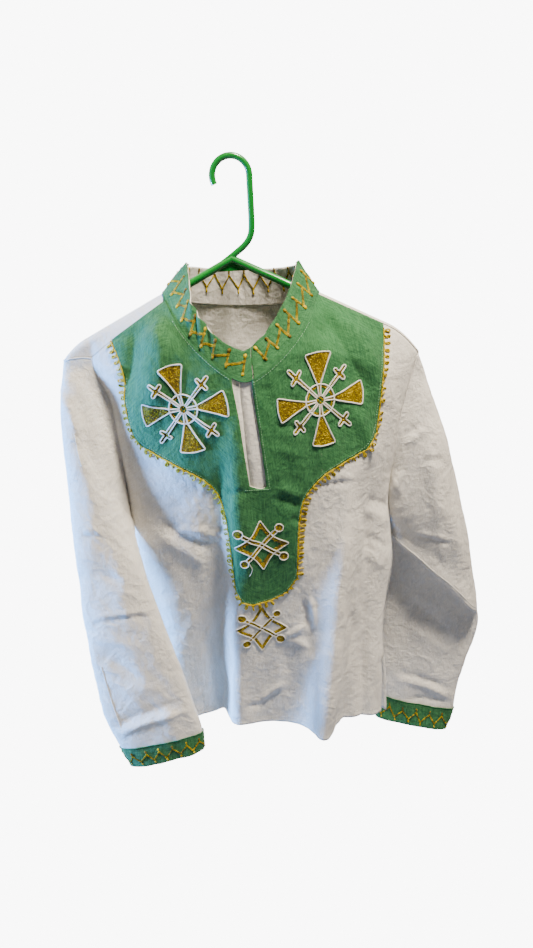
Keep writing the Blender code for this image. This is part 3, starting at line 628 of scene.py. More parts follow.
@dataclass
class Relief:
    """The small relief of one piece of cloth: creases on its front and back and a soft unevenness."""

    front: Sequence[Crease] = ()
    back: Sequence[Crease] = ()
    seed: int = 1
    soft: float = 0.0010
    fine: float = 0.00030
    gain: float = 1.7
    depth_share: float = 1.7

    def height(self, points: Points, normals: Points) -> Points:
        """Height along the normal at each point.

        Args:
            points: rows by columns by 3.
            normals: the way out at each point.

        Returns:
            The height at each point.
        """
        x, down = points[..., 0], -points[..., 2]
        faces_front = smooth_step(-normals[..., 1] / 0.5 + 0.2)
        faces_back = smooth_step(normals[..., 1] / 0.5 + 0.2)
        total = self.gain * crease_height(self.front, x, down) * faces_front
        total = total + self.gain * crease_height(self.back, x, down) * faces_back
        around = x + self.depth_share * points[..., 1]
        total = total + self.soft * ripple(around, down, self.seed, 0.050, 0.140)
        return total + self.fine * ripple(around, down, self.seed + 7, 0.014, 0.030)

    def put_on(self, points: Points, normals: Points, hold: Optional[Points] = None) -> Points:
        """The points moved along their normals by the relief, held back where `hold` is 0.

        Args:
            points: rows by columns by 3.
            normals: the way out at each point.
            hold: 0 where a point stays.

        Returns:
            The points.
        """
        height = self.height(points, normals)
        if hold is not None:
            height = height * hold
        return points + normals * height[..., None]


def lattice_object(
    name: str,
    points: Points,
    closed: bool = False,
    skip: Optional[Callable[[int, int], bool]] = None,
) -> Object:
    """A mesh of quads over rows of points, with a UV map that holds metres of cloth.

    Args:
        name: the object's name.
        points: rows by columns by 3.
        closed: whether the last column meets the first.
        skip: says which cells are left out.

    Returns:
        The linked object.
    """
    rows, columns = points.shape[:2]
    around = points if not closed else np.concatenate([points, points[:, :1]], axis=1)
    steps_u = np.linalg.norm(np.diff(around, axis=1), axis=-1)
    u = np.concatenate([np.zeros((rows, 1)), np.cumsum(steps_u, axis=1)], axis=1)
    u = u - u[:, around.shape[1] // 2][:, None]
    steps_v = np.linalg.norm(np.diff(around, axis=0), axis=-1)
    v = np.concatenate([np.zeros((1, around.shape[1])), np.cumsum(steps_v, axis=0)], axis=0)
    faces, corners = [], []
    for row in range(rows - 1):
        for column in range(around.shape[1] - 1):
            if skip and skip(row, column):
                continue
            after = (column + 1) % columns
            faces.append((row * columns + column, (row + 1) * columns + column,
                          (row + 1) * columns + after, row * columns + after))
            corners.extend(((row, column), (row + 1, column), (row + 1, column + 1), (row, column + 1)))
    mesh = bpy.data.meshes.new(name)
    mesh.from_pydata(points.reshape(-1, 3).tolist(), [], faces)
    layer = mesh.uv_layers.new(name="cloth")
    index = np.array(corners)
    uv = np.stack([u[index[:, 0], index[:, 1]], -v[index[:, 0], index[:, 1]]], axis=-1)
    layer.data.foreach_set("uv", uv.reshape(-1).astype(np.float32))
    mesh.shade_smooth()
    made = placed(name, mesh)
    if skip:
        shape = bmesh.new()
        shape.from_mesh(mesh)
        loose = [vertex for vertex in shape.verts if not vertex.link_faces]
        bmesh.ops.delete(shape, geom=loose, context="VERTS")
        shape.to_mesh(mesh)
        shape.free()
    return made


def placed(name: str, data: bpy.types.ID) -> Object:
    """A new object in the scene with this data.

    Args:
        name: what the object is called.
        data: what it holds.

    Returns:
        The object.
    """
    made = bpy.data.objects.new(name, data)
    bpy.context.scene.collection.objects.link(made)
    return made


def placed_shape(name: str, shape: bmesh.types.BMesh) -> Object:
    """A new object in the scene with a shape, which is freed.

    Args:
        name: what the object is called.
        shape: the shape.

    Returns:
        The object.
    """
    mesh = bpy.data.meshes.new(name)
    shape.to_mesh(mesh)
    shape.free()
    return placed(name, mesh)


def unit(vectors: Points) -> Points:
    """Vectors of length 1 in the same directions."""
    return vectors / np.maximum(np.linalg.norm(vectors, axis=-1, keepdims=True), 1e-9)


def solid_wall(made: Object, thickness: float, offset: float = 1.0) -> Object:
    """Gives an open sheet its wall with a Solidify modifier.

    Args:
        made: the open sheet.
        thickness: the wall's thickness.
        offset: 1 for a wall on the outside, -1 for one on the inside.

    Returns:
        The same object.
    """
    wall = made.modifiers.new("wall", "SOLIDIFY")
    wall.thickness = thickness
    wall.offset = offset
    wall.use_rim = True
    return made


def frozen(made: Object) -> Object:
    """The same object with its modifiers made into its mesh.

    Args:
        made: the object.

    Returns:
        The same object.
    """
    graph = bpy.context.evaluated_depsgraph_get()
    mesh = bpy.data.meshes.new_from_object(made.evaluated_get(graph))
    mesh.name = made.name
    made.modifiers.clear()
    made.data = mesh
    return made


class Weave(Enum):
    """How a cloth's threads show."""

    PLAIN = "plain"
    CHAMBRAY = "chambray"


class NodeBench:
    """Helpers that lay out shader and geometry nodes."""

    def __init__(self, tree: NodeTree) -> None:
        """Takes the tree to work in."""
        self.tree = tree
        self.count = 0

    def port(self, way: str, name: str, kind: str, value: Optional[float] = None) -> None:
        """Gives the tree an input or output.

        Args:
            way: INPUT or OUTPUT.
            name: its label.
            kind: the socket's type.
            value: an input's own value.
        """
        socket = self.tree.interface.new_socket(name=name, in_out=way, socket_type=kind)
        if value is not None:
            socket.default_value = value

    def feed(self, socket: NodeSocket, value: object) -> None:
        """Joins a socket to an input, or sets the input's own value.

        Args:
            socket: the input.
            value: a socket or a value.
        """
        if isinstance(value, NodeSocket):
            self.tree.links.new(value, socket)
        else:
            socket.default_value = value

    def tune(self, made: Node, **values: object) -> None:
        """Feeds a node's inputs by name, with _ for a space."""
        for name, value in values.items():
            self.feed(made.inputs[name.replace("_", " ")], value)

    def node(self, kind: str, **values: object) -> Node:
        """A new node with its properties set and, by name with _ for a space, its inputs fed.

        Args:
            kind: the node's type.
            values: its properties, and its inputs with _ for a space.

        Returns:
            The node.
        """
        made = self.tree.nodes.new(kind)
        made.location = (190 * (self.count % 9), -230 * (self.count // 9))
        self.count += 1
        for name, value in values.items():
            if hasattr(made, name) and name not in made.inputs:
                setattr(made, name, value)
            else:
                self.tune(made, **{name: value})
        return made

    def get(self, kind: str, **values: object) -> NodeSocket:
        """The first output of a new node."""
        return self.node(kind, **values).outputs[0]

    def math(self, operation: str, *values: object, clamp: bool = False) -> NodeSocket:
        """A Math node on sockets or numbers.

        Args:
            operation: what it does.
            clamp: whether the result is kept between 0 and 1.
            values: sockets or numbers.

        Returns:
            Its output.
        """
        made = self.node("ShaderNodeMath", operation=operation, use_clamp=clamp)
        for socket, value in zip(made.inputs, values):
            self.feed(socket, value)
        return made.outputs[0]

    def plus(self, first: object, second: object, clamp: bool = False) -> NodeSocket:
        """The sum of two values."""
        return self.math("ADD", first, second, clamp=clamp)

    def minus(self, first: object, second: object, clamp: bool = False) -> NodeSocket:
        """The difference of two values."""
        return self.math("SUBTRACT", first, second, clamp=clamp)

    def times(self, first: object, second: object) -> NodeSocket:
        """The product of two values."""
        return self.math("MULTIPLY", first, second)

    def mix(self, factor: NodeSocket, first: object, second: object) -> NodeSocket:
        """A colour Mix node on sockets or colours.

        Args:
            factor: the share of the second.
            first: a socket or colour.
            second: a socket or colour.

        Returns:
            Its output.
        """
        made = self.node("ShaderNodeMix", data_type="RGBA")
        for place, value in ((0, factor), (6, first), (7, second)):
            self.feed(made.inputs[place], (*value, 1) if isinstance(value, tuple) else value)
        return made.outputs[2]

    def noise(self, vector: NodeSocket, scale: float, detail: float = 2.0, roughness: float = 0.5,
              distortion: float = 0.0) -> NodeSocket:
        """A Noise texture's value.

        Args:
            vector: where it is read.
            scale: how fine it is.
            detail: its octaves.
            roughness: their strength.
            distortion: its swirl.

        Returns:
            Its output.
        """
        made = self.node("ShaderNodeTexNoise", Scale=scale, Detail=detail, Roughness=roughness,
                         Distortion=distortion, Vector=vector)
        return made.outputs["Fac"]


SLUB_ACROSS = 900.0
SLUB_ALONG = 45.0


def thread_group() -> NodeTree:
    """The woven threads of a cloth, read from its UV map in metres.

    Returns:
        A group with inputs Threads and Slub and outputs Height, Warp, Speckle, Drift and Crumple.
    """
    tree = bpy.data.node_groups.new("woven threads", "ShaderNodeTree")
    bench = NodeBench(tree)
    for name, value in (("Threads", 2200.0), ("Slub", 0.5)):
        bench.port("INPUT", name, "NodeSocketFloat", value)
    for name in ("Height", "Warp", "Speckle", "Drift", "Crumple"):
        bench.port("OUTPUT", name, "NodeSocketFloat")
    start = bench.node("NodeGroupInput")
    end = bench.node("NodeGroupOutput")
    where = bench.get("ShaderNodeUVMap", uv_map="cloth")
    split = bench.node("ShaderNodeSeparateXYZ", Vector=where)
    u, v = split.outputs[0], split.outputs[1]
    wander = bench.times(bench.noise(where, 60.0), 0.002)
    turns = [bench.times(bench.plus(way, wander), start.outputs["Threads"]) for way in (u, v)]
    wave_u, wave_v = (bench.math("SINE", bench.times(turn, math.pi)) for turn in turns)
    warp = bench.math("GREATER_THAN", bench.times(wave_u, wave_v), 0.0)
    high = bench.plus(bench.times(bench.math("ABSOLUTE", wave_u), warp),
                      bench.times(bench.math("ABSOLUTE", wave_v), bench.minus(1.0, warp)))
    slub_u, slub_v = (
        bench.noise(bench.get("ShaderNodeCombineXYZ", X=bench.times(u, per_u), Y=bench.times(v, per_v)), 1.0)
        for per_u, per_v in ((SLUB_ACROSS, SLUB_ALONG), (SLUB_ALONG, SLUB_ACROSS)))
    slubs = bench.minus(bench.plus(slub_u, slub_v), 1.0)
    mottle = bench.math("MULTIPLY_ADD", bench.noise(where, 300.0, 3.0), 1.5, -0.75)
    speckle = bench.plus(bench.times(slubs, 3.0), mottle)
    solid = bench.node("ShaderNodeTexCoord").outputs["Object"]
    folds = bench.noise(solid, 30.0, 4.0, 0.55, 0.25)
    ridge = bench.math("ABSOLUTE", bench.minus(folds, 0.5))
    ridge = bench.times(bench.minus(0.12, ridge, clamp=True), 3.0)
    crumple = bench.plus(ridge, bench.times(bench.noise(solid, 120.0, 3.0), 0.42))
    bench.tune(end, Height=bench.plus(high, bench.times(slubs, start.outputs["Slub"])), Warp=warp,
               Speckle=bench.plus(speckle, 0.45, clamp=True),
               Drift=bench.math("MULTIPLY_ADD", bench.noise(where, 9.0, 3.0), 2.2, -0.6, clamp=True),
               Crumple=bench.plus(crumple, bench.times(bench.noise(solid, 270.0), 0.26)))
    return tree


def painted(name: str) -> tuple[Material, NodeBench, Node]:
    """A new material with a bench for its nodes and its Principled shader.

    Args:
        name: the material's name.

    Returns:
        All three.
    """
    made = bpy.data.materials.new(name)
    made.use_nodes = True
    return made, NodeBench(made.node_tree), made.node_tree.nodes["Principled BSDF"]


@dataclass(frozen=True)
class ClothFinish:
    """A woven cloth: its colours, sheen and how its threads show."""

    name: str
    base: Triple
    shade: Triple
    weft: Triple
    weave: Weave
    roughness: float
    sheen: float
    threads: float
    relief: float

    def material(self, threads: NodeTree) -> Material:
        """The cloth's material, built round the thread group.

        Args:
            threads: the thread group.

        Returns:
            The material.
        """
        made, bench, shader = painted(self.name)
        chambray = self.weave is Weave.CHAMBRAY
        woven = bench.node("ShaderNodeGroup", node_tree=threads, Threads=self.threads,
                           Slub=0.7 if chambray else 0.5).outputs
        base = bench.mix(woven["Drift"], self.shade, self.base)
        flecks = bench.times(woven["Speckle"], 0.45 if chambray else 0.42)
        if chambray:
            flecks = bench.plus(bench.times(woven["Warp"], 0.35), flecks)
        crumple = bench.get("ShaderNodeBump", Strength=0.56, Distance=0.0036, Height=woven["Crumple"])
        bump = bench.get("ShaderNodeBump", Strength=self.relief, Distance=0.0003, Height=woven["Height"],
                         Normal=crumple)
        bench.tune(shader, Base_Color=bench.mix(flecks, base, self.weft), Roughness=self.roughness,
                   Sheen_Weight=self.sheen, Sheen_Roughness=0.45, Specular_IOR_Level=0.25, Normal=bump)
        return made


@dataclass(frozen=True)
class ThreadFinish:
    """Embroidery or sewing thread: its colours and its gloss."""

    name: str
    light: Triple
    dark: Triple
    roughness: float
    sheen: float
    twist: float
    tinted: bool = False

    def material(self) -> Material:
        """A material with fine twisted strands and an uneven colour.

        Returns:
            The material.
        """
        made, bench, shader = painted(self.name)
        where = bench.node("ShaderNodeTexCoord").outputs["Object"]
        coarse = bench.times(bench.noise(where, 260.0), 1.1)
        fine = bench.times(bench.noise(where, 2600.0), 0.7)
        blend = bench.minus(bench.plus(coarse, fine), 0.62, clamp=not self.tinted)
        if self.tinted:
            tint = bench.node("ShaderNodeAttribute", attribute_type="GEOMETRY", attribute_name="tint")
            blend = bench.minus(bench.plus(bench.times(blend, 0.6), tint.outputs["Fac"]), 0.05, clamp=True)
        wave = bench.node("ShaderNodeTexWave", bands_direction="DIAGONAL", Scale=self.twist, Distortion=3.0,
                          Detail=1.0, Vector=where)
        bump = bench.get("ShaderNodeBump", Strength=0.5, Distance=0.0003, Height=wave.outputs["Fac"])
        bench.tune(shader, Base_Color=bench.mix(blend, self.dark, self.light), Roughness=self.roughness,
                   Specular_IOR_Level=0.2, Sheen_Weight=self.sheen, Normal=bump)
        return made


@dataclass(frozen=True)
class PlasticFinish:
    """Moulded glossy plastic."""

    name: str
    base: Triple
    deep: Triple
    roughness: float

    def material(self) -> Material:
        """A glossy material with faint flow marks and fine scratches in its roughness.

        Returns:
            The material.
        """
        made, bench, shader = painted(self.name)
        where = bench.node("ShaderNodeTexCoord").outputs["Object"]
        flow = bench.noise(where, 14.0, 3.0)
        marks = bench.noise(where, 420.0, 4.0, 0.7)
        rough = bench.math("MULTIPLY_ADD", marks, 0.16, self.roughness - 0.06, clamp=True)
        bump = bench.get("ShaderNodeBump", Strength=0.12, Distance=0.0004, Height=bench.noise(where, 90.0))
        bench.tune(shader, Base_Color=bench.mix(flow, self.deep, self.base), Roughness=rough,
                   Coat_Weight=0.25, Subsurface_Weight=0.08, Subsurface_Radius=(0.002, 0.006, 0.002),
                   Normal=bump)
        return made


WHITE_COTTON = ClothFinish("white cotton", (0.69, 0.66, 0.60), (0.62, 0.59, 0.53), (0.90, 0.88, 0.83),
                           Weave.PLAIN, 0.92, 0.10, 2000.0, 0.35)
GREEN_CHAMBRAY = ClothFinish("green chambray", (0.008, 0.082, 0.024), (0.006, 0.050, 0.020),
                             (0.075, 0.25, 0.085), Weave.CHAMBRAY, 0.86, 0.05, 1500.0, 0.45)
GOLD_THREAD = ThreadFinish("gold thread", (0.58, 0.42, 0.001), (0.12, 0.080, 0.001), 0.40, 0.0, 900.0, True)
WHITE_CORD = ThreadFinish("white cord", (0.86, 0.84, 0.78), (0.62, 0.60, 0.54), 0.75, 0.25, 900.0)
PALE_THREAD = ThreadFinish("pale green thread", (0.36, 0.62, 0.38), (0.16, 0.36, 0.20), 0.70, 0.2, 900.0)
GREEN_SEAM = ThreadFinish("green seam", (0.035, 0.17, 0.06), (0.015, 0.10, 0.035), 0.88, 0.1, 1400.0)
SEAM_ROLL = ThreadFinish("cotton seam", (0.82, 0.79, 0.73), (0.74, 0.70, 0.64), 0.92, 0.2, 1400.0)
GREEN_PLASTIC = PlasticFinish("green plastic", (0.004, 0.20, 0.022), (0.003, 0.15, 0.016), 0.26)


@dataclass
class Wardrobe:
    """The finished materials, each built once."""

    cotton: Material
    green: Material
    gold: Material
    white: Material
    pale_thread: Material
    seam: Material
    green_seam: Material
    plastic: Material

    @classmethod
    def build(cls) -> "Wardrobe":
        """Builds every material.

        Returns:
            The materials.
        """
        threads = thread_group()
        plain = (GOLD_THREAD, WHITE_CORD, PALE_THREAD, SEAM_ROLL, GREEN_SEAM, GREEN_PLASTIC)
        return cls(WHITE_COTTON.material(threads), GREEN_CHAMBRAY.material(threads),
                   *(finish.material() for finish in plain))


class Cut(NamedTuple):
    """The cut of a piece of cloth: its flat width and length, and the area inside its outline."""

    width: float
    length: float
    area: float


def dress(made: Object, material: Material, node: str = "") -> Object:
    """Gives a finished piece its material and its place in the record.

    Args:
        made: the piece.
        material: its material.
        node: the CAD node that it replaces.

    Returns:
        The piece.
    """
    made.data.materials.clear()
    made.data.materials.append(material)
    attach(made, "root")
    if node:
        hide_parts(node)
    area = sum(face.area for face in made.data.polygons)
    log.info("%s: %d faces, %.4f square metres all over", made.name, len(made.data.polygons), area)
    return made


def columns_along_top(neck_count: int, shoulder_count: int) -> Points:
    """Where columns start along the neck and the shoulder seams: x, closer together beside the neck.

    Args:
        neck_count: columns along the neck.
        shoulder_count: columns along each shoulder.

    Returns:
        x of each column.
    """
    turn = np.linspace(-NECK_SIDE_TURN, NECK_SIDE_TURN, neck_count)
    neck = NECK_X + NECK_HALF * np.sin(turn)
    graded = (np.arange(1, shoulder_count + 1) / shoulder_count) ** 1.1
    right = neck[0] + (FRONT_SIDES[0].right - neck[0]) * graded
    left = neck[-1] + (FRONT_SIDES[0].left - neck[-1]) * graded
    return np.concatenate([right[::-1], neck, left])


@dataclass
class FrontPanel:
    """The front of the shirt with its yoke and the strips behind the slit."""

    form: BodyForm
    neck_count: int = 81
    shoulder_count: int = 36
    slit_rows: int = 60
    lower_rows: int = 128
    slit_fill: int = 6
    cut: Cut = Cut(0.46, 0.65, 0.262)
    yoke_cut: Cut = Cut(0.38, 0.44, 0.079)
    relief: Relief = field(default_factory=lambda: Relief(FRONT_CREASES, (), 3))
    hem_depth: float = 0.009
    hem_swell: float = 0.0007
    vent: float = 0.0045
    vent_down: float = 0.702
    vent_rise: float = 0.016
    ridge_width: float = 0.011
    ridge_draw: float = 0.55
    yoke_end_down: float = 0.62

    def __post_init__(self) -> None:
        """Works out the panel's points and normals."""
        x = columns_along_top(self.neck_count, self.shoulder_count)
        shares = np.where(x < 0, x / -FRONT_SIDES[0].right, x / FRONT_SIDES[0].left)
        shares = shares[(shares < SLIT_LEFT - 0.006) | (shares > SLIT_RIGHT + 0.006)]
        between = np.linspace(SLIT_LEFT, SLIT_RIGHT, self.slit_fill + 2)
        self.shares = np.sort(np.concatenate([shares, between]))
        self.slit_column = int(np.argmin(np.abs(self.shares - SLIT_LEFT)))
        upper = SLIT_FRACTION * (np.arange(self.slit_rows) / self.slit_rows) ** 1.5
        lower = np.arange(self.lower_rows + 1) / self.lower_rows
        self.rows = np.concatenate([upper, SLIT_FRACTION + (1 - SLIT_FRACTION) * lower])
        plain = self.form.front_surface(self.shares, self.rows)
        down = -plain[..., 2]
        at_side = smooth_step((self.shares - 0.90)[None, :] / 0.10)
        plain[..., 0] -= self.vent * (smooth_step((down - self.vent_down) / self.vent_rise) * at_side)
        away = plain[..., 0] - np.interp(down, RIDGE_DOWN, RIDGE_X)
        near = np.exp(-((away / self.ridge_width) ** 2))
        plain[..., 0] -= self.ridge_draw * away * near * smooth_step((down - 0.30) / 0.1)
        out = lattice_normals(plain)
        side = np.clip((1 - np.abs(self.shares)) / 0.05, 0, 1)[None, :]
        top = np.clip(self.rows / 0.04, 0, 1)[:, None]
        hem = np.clip((plain[..., 2] + HEM_DOWN) / self.hem_depth, 0, 1)
        self.points = self.relief.put_on(plain, out, smooth_step(side) * smooth_step(top))
        self.points = self.points + out * (self.hem_swell * (1 - smooth_step(hem * 1.6 - 0.5)))[..., None]
        self.out = lattice_normals(self.points)

    def in_slit(self, row: int, column: int) -> bool:
        """Whether a cell lies in the slit."""
        return row < self.slit_rows and 0 <= column - self.slit_column <= self.slit_fill

    def build_panel(self, looks: Wardrobe) -> Object:
        """The white front panel.

        Args:
            looks: the finished materials.

        Returns:
            The object.
        """
        sheet = lattice_object("front_cloth", self.points, skip=self.in_slit)
        made = frozen(solid_wall(sheet, COTTON_WALL))
        return dress(made, looks.cotton, "front_panel")

    def build_yoke(self, looks: Wardrobe) -> Object:
        """The green yoke, cut from a copy of the front by its outline.

        Args:
            looks: the finished materials.

        Returns:
            The object.
        """
        last = int(np.argmax(self.points[:, 10, 2] < -self.yoke_end_down))
        lifted = (self.points + self.out * (COTTON_WALL + YOKE_GAP))[:last]
        made = solid_wall(lattice_object("yoke_cloth", lifted, skip=self.in_slit), TRIM_WALL)
        cutter = self.yoke_prism()
        trim = made.modifiers.new("outline", "BOOLEAN")
        trim.operation = "INTERSECT"
        trim.object = cutter
        made = frozen(made)
        bpy.data.objects.remove(cutter)
        return dress(made, looks.green, "yoke")

    def yoke_prism(self) -> Object:
        """A prism of the yoke's outline that runs from front to back.

        Returns:
            The object.
        """
        shape = bmesh.new()
        outline = softened(YOKE_OUTLINE, 1)
        near = [shape.verts.new((x, -0.16, -down)) for x, down in outline]
        far = [shape.verts.new((x, 0.14, -down)) for x, down in outline]
        shape.faces.new(near)
        shape.faces.new(far[::-1])
        for i in range(len(near)):
            j = (i + 1) % len(near)
            shape.faces.new((near[j], near[i], far[i], far[j]))
        bmesh.ops.recalc_face_normals(shape, faces=shape.faces)
        return placed_shape("yoke_prism", shape)

    def build_strips(self, looks: Wardrobe) -> list[Object]:
        """The narrow facing on the wearer's right of the slit and the underlap behind the rest.

        Args:
            looks: the finished materials.

        Returns:
            The pieces.
        """
        rows = self.slit_rows + 10
        first, last = self.slit_column, self.slit_column + self.slit_fill + 1
        behind = self.points[:rows] - self.out[:rows] * GAP
        share = np.clip(np.arange(rows) / self.slit_rows, 0, 1)[:, None]
        line = behind[:, first] + (0.42 + (0.06 - 0.42) * share) * (behind[:, last] - behind[:, first])
        near, far = line - np.array([GAP, 0, 0]), line + np.array([GAP, 0, 0])
        facing = [behind[:, first - 3], behind[:, first - 2], behind[:, first - 1], behind[:, first],
                  0.5 * (behind[:, first] + near), near]
        lap = [far, 0.5 * (far + behind[:, last]), behind[:, last], behind[:, last + 1],
               behind[:, last + 2], behind[:, last + 3]]
        made = []
        for name, node, strip, cut in (
                ("slit_facing_cloth", "slit_facing", facing, Cut(0.020, 0.180, 0.0026)),
                ("slit_underlap_cloth", "slit_underlap", lap, Cut(0.028, 0.178, 0.0049))):
            piece = frozen(solid_wall(lattice_object(name, np.stack(strip, axis=1)), TRIM_WALL, -1.0))
            made.append(dress(piece, looks.cotton, node))
        return made


@dataclass
class BackPanel:
    """The back of the shirt, which comes forward over both shoulders to the seams."""

    form: BodyForm
    neck_count: int = 71
    shoulder_count: int = 34
    tip_count: int = 12
    over_rows: int = 26
    lower_rows: int = 120
    cut: Cut = Cut(0.50, 0.66, 0.280)
    relief: Relief = field(default_factory=lambda: Relief((), BACK_CREASES, 11, 0.0008))

    def __post_init__(self) -> None:
        """Works out the panel's points, already turned so that its faces point out."""
        tip = np.linspace(BACK_SIDES[0].right, FRONT_SIDES[0].right, self.tip_count + 1)[:-1]
        edge = NECK_HALF * math.sin(NECK_SIDE_TURN) - NECK_TURN_OVER * np.arange(1, 9) / 8
        beside_neck = np.concatenate([NECK_X - edge, NECK_X + edge])
        top = columns_along_top(self.neck_count, self.shoulder_count)
        x = np.sort(np.concatenate([tip, top, beside_neck]))
        shares = np.where(x < 0, x / -BACK_SIDES[0].right, x / BACK_SIDES[0].left)
        plain = self.form.back_surface(shares, self.over_rows, self.lower_rows)[:, ::-1]
        out = lattice_normals(plain)
        side = np.clip((1 - np.abs(shares[::-1])) / 0.05, 0, 1)[None, :]
        top_hold = np.clip((np.arange(len(plain)) - self.over_rows) / 14, 0, 1)[:, None]
        self.points = self.relief.put_on(plain, out, smooth_step(side) * smooth_step(top_hold))
        self.out = lattice_normals(self.points)

    def build(self, looks: Wardrobe) -> Object:
        """The white back panel."""
        made = frozen(solid_wall(lattice_object("back_cloth", self.points), COTTON_WALL))
        return dress(made, looks.cotton, "back_panel")


@dataclass
class Collar:
    """The stand collar, green outside and white inside."""

    form: BodyForm
    columns: int = 300
    rows: int = 22
    foot_lift: float = -0.0012
    foot_inset: float = 0.0002
    gather_height: float = 0.0030
    pull_height: float = 0.0012
    wave_height: float = 0.0009
    foot_share: float = 0.18
    cut: Cut = Cut(0.56, 0.042, 0.0226)

    def __post_init__(self) -> None:
        """Works out the inside points of the lining and of the outer layer."""
        angles = np.linspace(COLLAR_OPEN_ANGLE + 0.2, 360 + COLLAR_OPEN_ANGLE - 0.2, self.columns)
        turned = (angles + 180) % 360 - 180
        radians = np.radians(turned)
        x = NECK_X + NECK_HALF * np.sin(radians)
        front = np.abs(turned) < 90
        form = self.form
        z = np.where(front, form.neck_height(x, True), form.neck_height(x, False))
        z = np.minimum(z, form.shoulder_top(x))
        y = np.where(front, form.depth(x, z, True), form.depth(x, z, False))
        lean = curve(COLLAR, "angle", "lean", turned)
        rise = curve(COLLAR, "angle", "rise", turned)
        inward = -np.stack([np.sin(radians), -np.cos(radians)], axis=-1)
        foot = np.stack([x, y, z + self.foot_lift], axis=-1)
        foot[:, :2] += inward * self.foot_inset
        on_arm = np.abs(foot[:, 1]) < 2 * form.over_arm
        least = np.where(on_arm, form.shoulder_top(foot[:, 0]) + GAP, foot[:, 2])
        foot[:, 2] = np.maximum(foot[:, 2], least)
        smooth = np.ones(9) / 9
        for axis in range(3):
            padded = np.pad(foot[:, axis], 4, mode="reflect", reflect_type="odd")
            foot[:, axis] = np.convolve(padded, smooth, mode="valid")
        layers = []
        for height in np.linspace(0, 1, self.rows + 1):
            layer = foot.copy()
            layer[:, 2] += (z + rise - foot[:, 2]) * height
            layer[:, :2] += inward * (lean * height)[:, None]
            layers.append(layer)
        plain = np.stack(layers)[::-1]
        out = lattice_normals(plain)
        self.angles = turned
        self.lining = plain + out * self.crumple(plain.shape[:2])[..., None]
        self.lining_out = lattice_normals(self.lining)
        self.outer = self.lining + self.lining_out * (TRIM_WALL + GAP)
        self.out = lattice_normals(self.outer)

    def crumple(self, shape: tuple[int, int]) -> Points:
        """Gathers of the collar's right front and soft waves elsewhere, larger toward the rim.

        Args:
            shape: the lattice's rows and columns.

        Returns:
            The height at each point.
        """
        height = np.linspace(1, 0, shape[0])[:, None]
        angle = self.angles[None, :]
        gathers = np.exp(-(((angle + 34) / 13) ** 2)) * np.sin(np.radians(angle) * 34 + 2.4 * height)
        pulls = np.exp(-(((angle - 16) / 12) ** 2)) * np.sin(np.radians(angle) * 26 - 4.5 * height)
        waves = ripple(angle * 0.0017, height * 0.05, 5, 0.030, 0.090)
        bend = np.sin(math.pi * np.clip(height, 0, 1)) ** 0.5
        return (self.gather_height * gathers * (0.15 + 0.85 * height) + self.pull_height * pulls * bend
                + self.wave_height * waves * (0.3 + 0.7 * height)) * smooth_step(height / self.foot_share)

    def build(self, looks: Wardrobe) -> list[Object]:
        """The outer layer and the lining.

        Args:
            looks: the finished materials.

        Returns:
            The pieces.
        """
        lining = frozen(solid_wall(lattice_object("collar_lining_cloth", self.lining), TRIM_WALL))
        outer = frozen(solid_wall(lattice_object("collar_cloth", self.outer), TRIM_WALL))
        return [dress(lining, looks.cotton, "collar_lining"),
                dress(outer, looks.green, "collar")]


